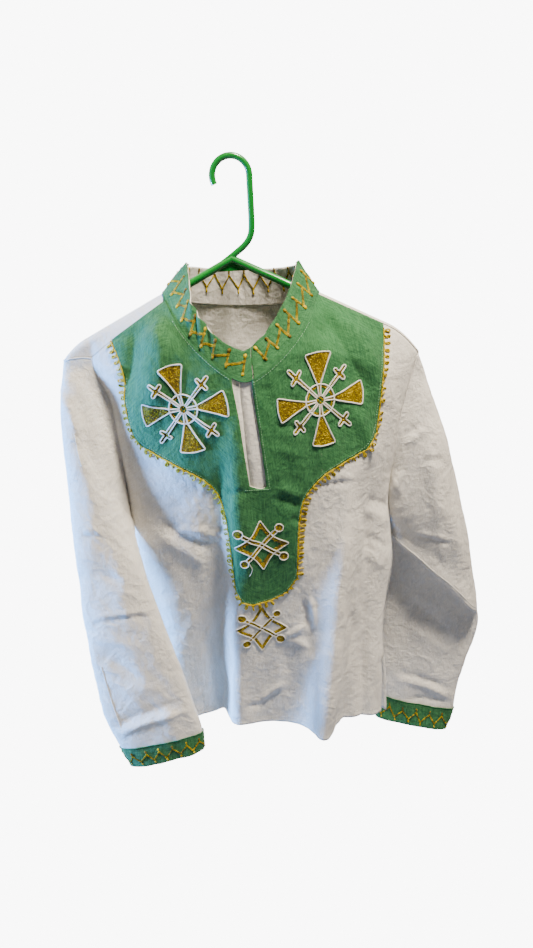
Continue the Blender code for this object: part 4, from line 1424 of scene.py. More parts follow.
@dataclass
class Sleeve:
    """One sleeve and the cuff band on its end."""

    form: BodyForm
    side: str
    rings: Sequence[SleeveRing]
    relief: Relief
    cut: Cut
    cuff_cut: Cut
    sides: int = 96
    count: int = 170
    cuff_steps: int = 16
    seam_rows: int = 14
    seam_gap: float = 0.0004

    def __post_init__(self) -> None:
        """Works out the sleeve's points and normals."""
        left = self.side == "left"
        points = self.surface(left)
        if left:
            points = self.elbow_fold(points)[:, ::-1]
        out = lattice_normals(points, closed=True)
        hold = np.clip(np.arange(len(points)) / 16, 0, 1)[:, None]
        self.points = self.relief.put_on(points, out, smooth_step(hold))
        self.out = lattice_normals(self.points, closed=True)
        self.cuff_rows = self.cuff_steps + 1

    def chain(self, points: Points, count: int, flip: bool) -> Points:
        """Points at even lengths along an edge.

        Args:
            points: the edge.
            count: how many points.
            flip: whether it is read from its end.

        Returns:
            The points.
        """
        points = points[::-1] if flip else points
        steps = np.linalg.norm(np.diff(points, axis=0), axis=1)
        length = np.concatenate([[0], np.cumsum(steps)])
        at = np.linspace(0, length[-1], count)
        return np.stack([np.interp(at, length, points[:, axis]) for axis in range(3)], axis=-1)

    def armhole(self, left: bool) -> Points:
        """The armhole from the shoulder's tip down the front to the armpit and up the back.

        Args:
            left: whether it is the wearer's left.

        Returns:
            The points.
        """
        column = -1 if left else 0
        front = self.form.front_surface(np.array([-1.0, 1.0]), np.linspace(0, 1, 240))[:, column]
        back_all = self.form.back_surface(np.linspace(-1, 1, 161), 12, 90)
        back = back_all[:, column]
        armpit = LEFT_ARMPIT_DOWN if left else self.form.armpit_down
        front = front[-front[:, 2] < armpit]
        behind = back[(-back[:, 2] < armpit) & (np.arange(len(back)) > 2)]
        low = np.array([[front[-1, 0], 0.0, -armpit]])
        half, tip = self.sides // 2, self.sides // 8
        front = np.concatenate([front, low])
        fore = self.chain(front, half + 1, False)
        if not left:
            edge = back_all[0]
            wrapped = edge[edge[:, 0] < front[0, 0] + 0.0001]
            over_tip = self.chain(wrapped, tip + 1, False)
            fore = np.concatenate([over_tip[:-1], self.chain(front, half + 1 - tip, False)])
        aft = self.chain(np.concatenate([behind, low]), half + 1, True)
        return np.concatenate([fore[:-1], aft[:-1]])

    def stations(self) -> Points:
        """Where the sections lie along the sleeve; the last steps divide the cuff.

        Returns:
            The station of each row.
        """
        cuff = len(self.rings) - 2
        steps = cuff + np.arange(1, self.cuff_steps + 1) / self.cuff_steps
        return np.concatenate([np.linspace(0, cuff, self.count - self.cuff_steps), steps])

    def section(self, ring: SleeveRing) -> Points:
        """A sleeve section: an oval between its outer and inner edge.

        Args:
            ring: the section's sizes.

        Returns:
            The points.
        """
        angle = 2 * math.pi * np.arange(self.sides) / self.sides
        outer = np.array([ring.outer_x, ring.outer_y, -ring.outer_down])
        inner = np.array([ring.inner_x, ring.inner_y, -ring.inner_down])
        across = (1 - np.cos(angle)) / 2
        reach = np.abs(np.sin(angle)) ** 0.85
        away = np.where(np.sin(angle) > 0, -ring.forward * reach, ring.backward * reach)
        points = outer + across[:, None] * (inner - outer)
        points[:, 1] += away
        return points

    def surface(self, left: bool) -> Points:
        """Points of the sleeve's inside, from the armhole to the cuff.

        Args:
            left: whether it is the wearer's left.

        Returns:
            The points.
        """
        start = self.armhole(left)
        first = self.section(self.rings[0])
        start[:, 0] += self.seam_gap if left else -self.seam_gap
        if not left:
            start[: self.sides // 8 + 1, 2] -= self.seam_gap
        path = (Numbered(0, 0), Numbered(0.22, 0.04), Numbered(0.60, 0.55), Numbered(1, 1))
        rows = []
        for along in np.linspace(0, 1, self.seam_rows, endpoint=False):
            away = float(curve(path, "at", "value", np.array(along)))
            rows.append(start + (first - start) * np.array([along, away, along]))
        for at in self.stations():
            values = [
                float(curve([Numbered(i, ring[axis]) for i, ring in enumerate(self.rings)], "at", "value",
                            np.array(at)))
                for axis in range(len(SleeveRing._fields))
            ]
            rows.append(self.section(SleeveRing(*values)))
        return np.stack(rows)

    def elbow_fold(self, rows: Points) -> Points:
        """Tucks the wearer's left forearm behind the lower edge of the upper arm.

        Args:
            rows: the sleeve's points.

        Returns:
            The points.
        """
        angle = 2 * math.pi * np.arange(self.sides) / self.sides
        weight = np.clip(np.sin(angle) * 1.6, 0, 1)
        station = np.concatenate([np.linspace(-3, -0.2, self.seam_rows), self.stations()])
        for row, at in zip(rows, station):
            behind = at - self.lip_station(angle)
            past = smooth_step((behind + 0.02) / 0.10)
            lip = (1 - past) * np.exp(-((np.minimum(behind, 0) / 0.55) ** 2))
            tuck = past * np.exp(-((np.maximum(behind, 0) / 1.4) ** 2))
            row[:, 1] += weight * (ELBOW_TUCK * tuck - 0.5 * ELBOW_LIP * lip)
            row[:, 2] -= weight * ELBOW_LIP * lip
        return rows

    def lip_station(self, angle: Points) -> Points:
        """The station where the elbow's lip lies at each angle round the sleeve."""
        return ELBOW_RING - ELBOW_BOW * np.abs(np.sin(angle)) ** 1.5

    def lip_seam(self) -> Run:
        """The line just above the elbow's lip where the underarm seam shows.

        Returns:
            The line.
        """
        angle = (2 * math.pi * np.arange(self.sides) / self.sides)[::-1]
        station = np.concatenate([np.linspace(-3, -0.2, self.seam_rows), self.stations()])
        points, out = [], []
        for column in np.flatnonzero(np.sin(angle) > 0.30):
            row = int(np.argmin(np.abs(station - self.lip_station(angle[column]) + 0.22)))
            points.append(self.points[row, column] + self.out[row, column] * (COTTON_WALL + 0.0002))
            out.append(self.out[row, column])
        return Run(smoothed(np.array(points), 2, False), np.array(out))

    def build(self, looks: Wardrobe) -> list[Object]:
        """The sleeve and its cuff band.

        Args:
            looks: the finished materials.

        Returns:
            The pieces.
        """
        cloth = lattice_object(f"sleeve_{self.side}_cloth", self.points, closed=True)
        cloth = frozen(solid_wall(cloth, COTTON_WALL))
        band = (self.points + self.out * (COTTON_WALL + GAP))[-self.cuff_rows:]
        self.cuff_points = band + lattice_normals(band, closed=True) * TRIM_WALL
        self.cuff_out = lattice_normals(band, closed=True)
        cuff = frozen(solid_wall(lattice_object(f"cuff_{self.side}_cloth", band, closed=True), TRIM_WALL))
        return [dress(cloth, looks.cotton, f"sleeve_{self.side}"),
                dress(cuff, looks.green, f"cuff_band_{self.side}")]


class Run(NamedTuple):
    """A line of thread: its points, the way out of the cloth at each, and whether it is a ring."""

    points: Points
    out: Points
    closed: bool = False


class Knot(NamedTuple):
    """A knot or single stitch: where it is, the way out of the cloth and the way it lies."""

    place: Points
    out: Points
    along: Points


def resampled(flat: Points, step: float, closed: bool = False) -> Points:
    """The same line with its points at even steps.

    Args:
        flat: the line's points.
        step: the distance between points.
        closed: whether the line is a ring.

    Returns:
        The new points; a ring's first point isn't repeated.
    """
    flat = np.asarray(flat, dtype=float)
    if closed:
        flat = np.concatenate([flat, flat[:1]])
    length = np.concatenate([[0], np.cumsum(np.linalg.norm(np.diff(flat, axis=0), axis=1))])
    count = max(2, int(round(length[-1] / step)) + 1)
    at = np.linspace(0, length[-1], count)
    if closed:
        at = at[:-1]
    return np.stack([np.interp(at, length, flat[:, axis]) for axis in range(flat.shape[1])], axis=-1)


def softened(flat: Points, times: int = 2, closed: bool = False) -> Points:
    """The same line with its corners cut round.

    Args:
        flat: the line's points.
        times: how often.
        closed: whether it is a ring.

    Returns:
        The points.
    """
    flat = np.asarray(flat, dtype=float)
    for _ in range(times):
        after = np.roll(flat, -1, axis=0) if closed else flat[1:]
        before = flat if closed else flat[:-1]
        cut = np.stack([0.75 * before + 0.25 * after, 0.25 * before + 0.75 * after], axis=1)
        cut = cut.reshape(-1, flat.shape[1])
        flat = cut if closed else np.concatenate([flat[:1], cut, flat[-1:]])
    return flat


DIP = 0.0004


class FrontSkin:
    """The outside of the dressed front, found by looking straight back at it."""

    def __init__(self, pieces: Sequence[Object]) -> None:
        """Takes the pieces that lie outermost.

        Args:
            pieces: the pieces.
        """
        self.trees = [
            BVHTree.FromPolygons([vertex.co for vertex in piece.data.vertices],
                                 [tuple(face.vertices) for face in piece.data.polygons])
            for piece in pieces
        ]

    def spot(self, x: float, down: float) -> tuple[Points, Points]:
        """The point and the normal of the outermost cloth at a place seen from the front.

        Args:
            x: a place across.
            down: a place below the origin.

        Returns:
            The point and the normal.
        """
        start, ahead = Vector((x, -0.5, -down)), Vector((0, 1, 0))
        hits = [tree.ray_cast(start, ahead, 1.0) for tree in self.trees]
        hits = [hit for hit in hits if hit[0] is not None]
        if not hits:
            return np.array((x, 0.0, -down)), np.array((0.0, -1.0, 0.0))
        nearest = min(hits, key=lambda hit: hit[3])
        return np.array(nearest[0]), np.array(nearest[1])

    def run(self, flat: Points, lift: float, closed: bool = False, step: float = 0.0015) -> Run:
        """A line given as (x, down) laid on the cloth.

        Args:
            flat: the line's corners as x and down.
            lift: how far above the cloth its middle lies.
            closed: whether it is a ring.
            step: the distance between its points.

        Returns:
            The line on the cloth.
        """
        flat = resampled(flat, step, closed)
        spots = [self.spot(x, down) for x, down in flat]
        points = np.array([spot[0] for spot in spots])
        out = np.array([spot[1] for spot in spots])
        out = unit(smoothed(out, 4, closed))
        points[:, 1:2] = np.minimum(smoothed(points[:, 1:2], 1, closed), points[:, 1:2] + DIP)
        return Run(points + out * lift, out, closed)

    def patch(self, flat: Points, lifts: Points) -> tuple[Points, Points]:
        """A lattice given as (x, down) laid on the cloth, and its normals.

        Args:
            flat: x and down of each place.
            lifts: how far above the cloth each lies.

        Returns:
            The points and the normals.
        """
        rows, columns = flat.shape[:2]
        spots = [self.spot(x, down) for x, down in flat.reshape(-1, 2)]
        points = np.array([spot[0] for spot in spots]).reshape(rows, columns, 3)
        out = np.array([spot[1] for spot in spots]).reshape(rows, columns, 3)
        return points + out * lifts[..., None], out


def smoothed(values: Points, reach: int, closed: bool) -> Points:
    """Values averaged with their neighbours along a line.

    Args:
        values: a row for each place.
        reach: neighbours counted on each side.
        closed: whether it is a ring.

    Returns:
        The averages.
    """
    if reach < 1 or len(values) < 3:
        return values
    mode = "wrap" if closed else "edge"
    padded = np.pad(values, ((reach, reach), (0, 0)), mode=mode)
    width = 2 * reach + 1
    return np.stack([np.convolve(padded[:, axis], np.ones(width) / width, mode="valid")
                     for axis in range(values.shape[1])], axis=-1)


class LatticeSkin:
    """The outside of a piece made as a lattice, read by its distance along a row and its share across."""

    def __init__(self, points: Points, out: Points, closed: bool = False) -> None:
        """Takes the lattice, its outward normals and whether its columns meet.

        Args:
            points: rows by columns by 3.
            out: the way out at each point.
            closed: whether the last column meets the first.
        """
        if closed:
            points = np.concatenate([points, points[:, :1]], axis=1)
            out = np.concatenate([out, out[:, :1]], axis=1)
        self.points, self.out = points, out
        middle = points[len(points) // 2]
        steps = np.linalg.norm(np.diff(middle, axis=0), axis=1)
        self.along = np.concatenate([[0], np.cumsum(steps)])
        self.length = float(self.along[-1])

    def spot(self, run: float, share: float) -> tuple[Points, Points]:
        """The point and normal at a distance along and a share of the way to the last row.

        Args:
            run: the distance along.
            share: the share across, from 0 to 1.

        Returns:
            The point and the normal.
        """
        column = float(np.interp(run, self.along, np.arange(len(self.along))))
        row = share * (len(self.points) - 1)
        i, j = min(int(row), len(self.points) - 2), min(int(column), self.points.shape[1] - 2)
        a, b = row - i, column - j
        weights = ((i, j, (1 - a) * (1 - b)), (i + 1, j, a * (1 - b)),
                   (i, j + 1, (1 - a) * b), (i + 1, j + 1, a * b))
        point = sum(self.points[m, n] * weight for m, n, weight in weights)
        out = sum(self.out[m, n] * weight for m, n, weight in weights)
        return point, out / max(float(np.linalg.norm(out)), 1e-9)

    def run(self, flat: Points, lift: float, closed: bool = False, steps: int = 8) -> Run:
        """A line given as (distance, share) laid on the piece.

        Args:
            flat: the line's corners as distance and share.
            lift: how far above the cloth it lies.
            closed: whether it is a ring.
            steps: points between two corners.

        Returns:
            The line.
        """
        fine = []
        for first, last in zip(flat[:-1], flat[1:]):
            for part in np.linspace(0, 1, steps, endpoint=False):
                fine.append(np.asarray(first) * (1 - part) + np.asarray(last) * part)
        if not closed:
            fine.append(np.asarray(flat[-1], dtype=float))
        spots = [self.spot(run, share) for run, share in fine]
        out = np.array([spot[1] for spot in spots])
        return Run(np.array([spot[0] for spot in spots]) + out * lift, out, closed)


class ThreadTree(NodeBench):
    """A geometry tree for thread work: geometry, sizes and a material in, geometry out."""

    def __init__(self, name: str, **sizes: float) -> None:
        """Makes the tree, with a whole-number input for each size that is an int.

        Args:
            name: the tree's name.
            sizes: the inputs and their own values.
        """
        super().__init__(bpy.data.node_groups.new(name, "GeometryNodeTree"))
        self.port("INPUT", "Geometry", "NodeSocketGeometry")
        for label, value in sizes.items():
            kind = "NodeSocketInt" if isinstance(value, int) else "NodeSocketFloat"
            self.port("INPUT", label, kind, value)
        self.port("INPUT", "Material", "NodeSocketMaterial")
        self.port("OUTPUT", "Geometry", "NodeSocketGeometry")
        self.given = self.node("NodeGroupInput").outputs
        self.end = self.node("NodeGroupOutput")

    def finish(self, made: NodeSocket) -> NodeTree:
        """Ends the tree: real geometry, shaded smooth, with its material.

        Args:
            made: the geometry.

        Returns:
            The tree.
        """
        real = self.get("GeometryNodeRealizeInstances", Geometry=made)
        smooth = self.get("GeometryNodeSetShadeSmooth", Geometry=real)
        paint = self.get("GeometryNodeSetMaterial", Geometry=smooth, Material=self.given["Material"])
        self.tune(self.end, Geometry=paint)
        return self.tree

    def kept(self, made: NodeSocket, name: str, value: NodeSocket, kind: str = "FLOAT",
             domain: str = "POINT") -> NodeSocket:
        """Geometry that keeps a value as an attribute."""
        return self.get("GeometryNodeStoreNamedAttribute", data_type=kind, domain=domain, Name=name,
                        Geometry=made, Value=value)

    def named(self, name: str) -> NodeSocket:
        """A vector attribute of the line."""
        return self.get("GeometryNodeInputNamedAttribute", data_type="FLOAT_VECTOR", Name=name)

    def line(self) -> NodeSocket:
        """The given mesh of lines as curves."""
        return self.get("GeometryNodeMeshToCurve", Mesh=self.given["Geometry"])

    def scaled(self, vector: NodeSocket, by: NodeSocket) -> NodeSocket:
        """A vector times a number.

        Args:
            vector: the vector.
            by: the number.

        Returns:
            Its output.
        """
        made = self.node("ShaderNodeVectorMath", operation="SCALE", Scale=by)
        self.feed(made.inputs[0], vector)
        return made.outputs[0]

    def added(self, first: NodeSocket, second: NodeSocket) -> NodeSocket:
        """The sum of two vectors.

        Args:
            first: the first value.
            second: the second value.

        Returns:
            Its output.
        """
        made = self.node("ShaderNodeVectorMath", operation="ADD")
        self.feed(made.inputs[0], first)
        self.feed(made.inputs[1], second)
        return made.outputs[0]

    def random(self, low: float, high: float, seed: int) -> NodeSocket:
        """An uneven number with a fixed seed.

        Args:
            low: the least.
            high: the most.
            seed: the seed.

        Returns:
            Its output.
        """
        dice = self.node("FunctionNodeRandomValue", data_type="FLOAT", Seed=seed)
        dice.inputs[2].default_value = low
        dice.inputs[3].default_value = high
        return dice.outputs[1]

    def swept(self, line: NodeSocket) -> NodeSocket:
        """A round cord along a curve, which keeps the length run along it as an attribute.

        Args:
            line: the curve.

        Returns:
            Its output.
        """
        length = self.node("GeometryNodeSplineParameter").outputs["Length"]
        ring = self.get("GeometryNodeCurvePrimitiveCircle", mode="RADIUS", Resolution=self.given["Sides"],
                        Radius=self.given["Radius"])
        sweep = self.get("GeometryNodeCurveToMesh", Fill_Caps=True, Curve=self.kept(line, "run", length),
                         Profile_Curve=ring)
        tint = self.noise(self.get("GeometryNodeInputPosition"), 420.0, 1.0)
        return self.kept(sweep, "tint", self.math("MULTIPLY_ADD", tint, 0.8, 0.2))

    def sized(self, made: NodeSocket) -> NodeSocket:
        """A shape one metre across brought to the length, width and height given.

        Args:
            made: the shape.

        Returns:
            Its output.
        """
        given = self.given
        size = self.get("ShaderNodeCombineXYZ", X=given["Length"], Y=given["Width"], Z=given["Height"])
        return self.get("GeometryNodeTransform", Geometry=made, Scale=size)

    def grain(self) -> NodeSocket:
        """One short thick stitch."""
        return self.sized(self.get("GeometryNodeMeshUVSphere", Segments=6, Rings=4, Radius=0.5))

    def link_loop(self) -> NodeSocket:
        """One link of chain stitch.

        Returns:
            Its output.
        """
        ring = self.get("GeometryNodeCurvePrimitiveCircle", mode="RADIUS", Resolution=8, Radius=0.5)
        tip = self.get("GeometryNodeCurvePrimitiveCircle", mode="RADIUS", Resolution=4,
                       Radius=self.times(self.given["Height"], 0.5))
        return self.get("GeometryNodeCurveToMesh", Curve=self.sized(ring), Profile_Curve=tip)

    def facing(self) -> NodeSocket:
        """A turn that lays a stitch along the line and flat on the cloth.

        Returns:
            Its output.
        """
        lay = self.get("FunctionNodeAlignRotationToVector", axis="X", Vector=self.named("along"))
        return self.get("FunctionNodeAlignRotationToVector", axis="Z", pivot_axis="X", Rotation=lay,
                        Vector=self.named("out"))

    def laid(self, dots: NodeSocket, piece: NodeSocket, turn: NodeSocket, low: float,
             high: float) -> NodeSocket:
        """A piece laid on each dot, between two sizes and with a tint of its own.

        Args:
            dots: the points.
            piece: what is laid.
            turn: how it is turned.
            low: the least size.
            high: the largest size.

        Returns:
            Its output.
        """
        lay = self.get("GeometryNodeInstanceOnPoints", Points=dots, Instance=piece, Rotation=turn,
                       Scale=self.random(low, high, 4))
        return self.kept(lay, "tint", self.random(-0.35, 1.0, 21), domain="INSTANCE")


class ThreadWork:
    """The geometry node trees that turn lines and points into cords, chain stitches, knots and fills."""

    def __init__(self) -> None:
        """Builds each tree once."""
        self.cord = self.cord_tree()
        self.edging = self.edging_tree()
        self.chain = self.stitch_tree("chain stitches", True)
        self.dashes = self.stitch_tree("running stitches", False)
        self.knots = self.knot_tree()
        self.fill = self.fill_tree()

    def cord_tree(self) -> NodeTree:
        """A plain round cord along each line."""
        bench = ThreadTree("cord", Radius=0.001, Sides=6)
        return bench.finish(bench.swept(bench.line()))

    def edging_tree(self) -> NodeTree:
        """A cord thrown into loops that stand out from an edge.

        Returns:
            The tree.
        """
        bench = ThreadTree("loop edging", Radius=0.001, Sides=6, Pitch=0.009, Reach=0.007, Curl=0.0022,
                           Unevenness=0.9)
        given = bench.given
        fine = bench.get("GeometryNodeResampleCurve", mode="LENGTH", Curve=bench.line(),
                         Length=bench.math("DIVIDE", given["Pitch"], 18.0))
        length = bench.node("GeometryNodeSplineParameter").outputs["Length"]
        where = bench.get("GeometryNodeInputPosition")
        wander = bench.minus(bench.noise(where, 70.0, 1.0), 0.5)
        size = bench.minus(bench.noise(where, 45.0, 1.0), 0.5)
        turn = bench.times(bench.math("DIVIDE", length, given["Pitch"]), 2 * math.pi)
        turn = bench.plus(turn, bench.times(bench.times(wander, 5.0), given["Unevenness"]))
        grow = bench.math("MULTIPLY_ADD", bench.times(size, 2.2), given["Unevenness"], 1.0)
        rise = bench.times(bench.minus(1.0, bench.math("COSINE", turn)), 0.5)
        reach = bench.times(bench.times(rise, given["Reach"]), grow)
        sine = bench.math("SINE", turn)
        sway = bench.scaled(bench.get("GeometryNodeInputTangent"), bench.times(sine, given["Curl"]))
        move = bench.added(bench.scaled(bench.named("side"), reach), sway)
        lift = bench.times(bench.times(sine, rise), 0.0009)
        move = bench.added(move, bench.scaled(bench.named("out"), lift))
        return bench.finish(bench.swept(bench.get("GeometryNodeSetPosition", Geometry=fine, Offset=move)))

    def stitch_tree(self, name: str, chain: bool) -> NodeTree:
        """Links or dashes at even steps along each line.

        Args:
            name: the tree's name.
            chain: whether it makes links.

        Returns:
            The tree.
        """
        bench = ThreadTree(name, Spacing=0.0025, Length=0.0036, Width=0.002, Height=0.0008)
        dots = bench.node("GeometryNodeCurveToPoints", mode="LENGTH", Curve=bench.line(),
                          Length=bench.given["Spacing"]).outputs
        places = bench.kept(dots["Points"], "along", dots["Tangent"], "FLOAT_VECTOR")
        piece = bench.link_loop() if chain else bench.grain()
        return bench.finish(bench.laid(places, piece, bench.facing(), 0.85, 1.12))

    def knot_tree(self) -> NodeTree:
        """A lumpy knot on each point.

        Returns:
            The tree.
        """
        bench = ThreadTree("knots", Length=0.004, Width=0.003, Height=0.0022)
        dots = bench.get("GeometryNodeMeshToPoints", mode="VERTICES", Mesh=bench.given["Geometry"])
        ball = bench.sized(bench.get("GeometryNodeMeshIcoSphere", Radius=0.5, Subdivisions=2))
        real = bench.get("GeometryNodeRealizeInstances",
                         Geometry=bench.laid(dots, ball, bench.facing(), 0.8, 1.15))
        rough = bench.noise(bench.get("GeometryNodeInputPosition"), 900.0, 1.0)
        lump = bench.times(bench.minus(rough, 0.5), 0.0012)
        lump = bench.scaled(bench.get("GeometryNodeInputNormal"), lump)
        return bench.finish(bench.get("GeometryNodeSetPosition", Geometry=real, Offset=lump))

    def fill_tree(self) -> NodeTree:
        """Short stitches worked closely all over a patch, in every direction.

        Returns:
            The tree.
        """
        bench = ThreadTree("stitched fill", Spacing=0.0012, Length=0.0024, Width=0.001, Height=0.0009,
                           Seed=3)
        given = bench.given
        strew = bench.node("GeometryNodeDistributePointsOnFaces", distribute_method="POISSON",
                           Mesh=given["Geometry"], Distance_Min=given["Spacing"], Density_Max=900000.0,
                           Seed=given["Seed"]).outputs
        spin = bench.get("FunctionNodeAxisAngleToRotation", Axis=(0, 0, 1),
                         Angle=bench.random(0.0, math.pi, 9))
        turned = bench.get("FunctionNodeRotateRotation", rotation_space="LOCAL", Rotation=strew["Rotation"],
                           Rotate_By=spin)
        both = bench.node("GeometryNodeJoinGeometry")
        for part in (given["Geometry"], bench.laid(strew["Points"], bench.grain(), turned, 0.75, 1.2)):
            bench.feed(both.inputs[0], part)
        return bench.finish(both.outputs[0])

    def grow(self, made: Object, tree: NodeTree, material: Material, **sizes: float) -> Object:
        """Runs a tree on an object and keeps the result as its mesh.

        Args:
            made: the object.
            tree: the geometry tree.
            material: its material.
            sizes: the tree's inputs by name.

        Returns:
            The object.
        """
        worked = made.modifiers.new("thread work", "NODES")
        worked.node_group = tree
        items = tree.interface.items_tree
        sockets = {item.name: item.identifier for item in items if item.in_out == "INPUT"}
        for name, value in sizes.items():
            worked[sockets[name]] = value
        worked[sockets["Material"]] = material
        return frozen(made)

    def lines(self, name: str, runs: Sequence[Run]) -> Object:
        """A mesh of lines with the way out of the cloth, and the way to the side, at each point.

        Args:
            name: what the object is called.
            runs: the lines.

        Returns:
            The object.
        """
        points, out, side, edges = [], [], [], []
        for run in runs:
            first, count = len(points), len(run.points)
            across = unit(np.cross(np.gradient(run.points, axis=0), run.out))
            points.extend(run.points.tolist())
            out.extend(run.out.tolist())
            side.extend(across.tolist())
            edges.extend((first + i, first + i + 1) for i in range(count - 1))
            if run.closed:
                edges.append((first + count - 1, first))
        return self.marked(name, points, edges, out=out, side=side)

    def points(self, name: str, knots: Sequence[Knot]) -> Object:
        """A mesh of bare points with the way out of the cloth and the way each knot lies."""
        return self.marked(name, [tuple(knot.place) for knot in knots], [],
                           out=[knot.out for knot in knots], along=[knot.along for knot in knots])

    def marked(self, name: str, points: Sequence, edges: Sequence, **vectors: Sequence) -> Object:
        """A mesh of points and edges with vector attributes.

        Args:
            name: what the object is called.
            points: the places.
            edges: pairs of points.
            vectors: a vector for each point, by label.

        Returns:
            The object.
        """
        mesh = bpy.data.meshes.new(name)
        mesh.from_pydata(points, edges, [])
        for label, values in vectors.items():
            layer = mesh.attributes.new(label, "FLOAT_VECTOR", "POINT")
            layer.data.foreach_set("vector", np.array(values, dtype=np.float32).reshape(-1))
        return placed(name, mesh)

    def sewn(self, name: str, runs: Sequence[Run], tree: NodeTree, material: Material,
             **sizes: float) -> Object:
        """A tree's thread work along lines."""
        return self.grow(self.lines(name, runs), tree, material, **sizes)

    def cords(self, name: str, runs: Sequence[Run], material: Material, radius: float,
              sides: int = 6) -> Object:
        """Round cords along lines."""
        return self.sewn(name, runs, self.cord, material, Radius=radius, Sides=sides)


def joined(name: str, parts: Sequence[Object]) -> Object:
    """One object from several that share a material.

    Args:
        name: what the object is called.
        parts: the objects, which are removed.

    Returns:
        The object.
    """
    shape = bmesh.new()
    for part in parts:
        shape.from_mesh(part.data)
        bpy.data.objects.remove(part)
    made = placed_shape(name, shape)
    made.data.shade_smooth()
    return made


@dataclass
class Motif:
    """An embroidered figure worked on the front: gold fill with white cord round it."""

    skin: FrontSkin
    work: ThreadWork
    looks: Wardrobe
    name: str
    x: float
    down: float
    turn: float
    seed: int
    cord: float = 0.0010
    cord_lift: float = 0.0007
    fill_lift: float = 0.0005
    spacing: float = 0.0017
    stretch: tuple[float, float] = (1.0, 1.0)

    def __post_init__(self) -> None:
        """Makes the lists that the figure's parts are gathered in."""
        self.dice = np.random.default_rng(self.seed)
        self.outlines: list[Run] = []
        self.patches: list[Object] = []

    def flat(self, local: Points) -> Points:
        """Places given as right and up from the figure's middle, as x and down on the front.

        Args:
            local: places right of and above the middle.

        Returns:
            x and down of each place.
        """
        local = np.asarray(local, dtype=float)
        c, s = math.cos(math.radians(self.turn)), math.sin(math.radians(self.turn))
        wide, high = self.stretch
        return np.stack([self.x + wide * (c * local[..., 0] - s * local[..., 1]),
                         self.down - high * (s * local[..., 0] + c * local[..., 1])], axis=-1)

    def outline(self, local: Points, closed: bool = True, soften: int = 2) -> None:
        """Adds a white cord along a line."""
        line = softened(local, soften, closed)
        self.outlines.append(self.skin.run(self.flat(line), self.cord_lift, closed))

    def patch(self, local: Points) -> None:
        """Adds a gold patch over a lattice of places, crowned across its columns.

        Args:
            local: rows by columns of places.
        """
        columns = local.shape[1]
        crown = np.sin(math.pi * np.linspace(0.06, 0.94, columns)) ** 0.5
        lifts = np.broadcast_to(self.fill_lift * (0.3 + 0.7 * crown), local.shape[:2])
        points, _ = self.skin.patch(self.flat(local), lifts)
        self.patches.append(lattice_object(f"{self.name}_patch", points))

    def strip(self, line: Points, half_width: float) -> None:
        """Adds a narrow gold strip along a line.

        Args:
            line: its middle line.
            half_width: half its width.
        """
        line = resampled(line, 0.0020)
        tangent = unit(np.gradient(line, axis=0))
        across = np.stack([-tangent[:, 1], tangent[:, 0]], axis=-1)
        spread = np.linspace(1, -1, 4)[None, :, None] * half_width
        self.patch(line[:, None, :] + across[:, None, :] * spread)

    def disc(self, middle: Points, radius: float) -> None:
        """Adds a gold disc with white cord round it.

        Args:
            middle: its middle.
            radius: the radius.
        """
        angle = np.linspace(0, 2 * math.pi, 25)
        ring = np.stack([np.cos(angle), np.sin(angle)], axis=-1)
        rows = np.linspace(0.05, 1, 5)[:, None, None] * radius * ring[None, ::-1]
        self.patch(rows + np.asarray(middle))
        self.outline(np.asarray(middle) + ring[:-1] * (radius + self.cord * 0.9), soften=1)

    def build(self) -> list[Object]:
        """The gold fill and the white cord as two pieces.

        Returns:
            The pieces.
        """
        patch = joined(f"{self.name}_gold", self.patches)
        gold = self.work.grow(patch, self.work.fill, self.looks.gold, Spacing=self.spacing, Length=0.0027,
                              Width=0.0012, Height=0.0011, Seed=self.seed)
        white = self.work.cords(f"{self.name}_outline", self.outlines, self.looks.white, self.cord)
        return [dress(gold, self.looks.gold),
                dress(white, self.looks.white)]


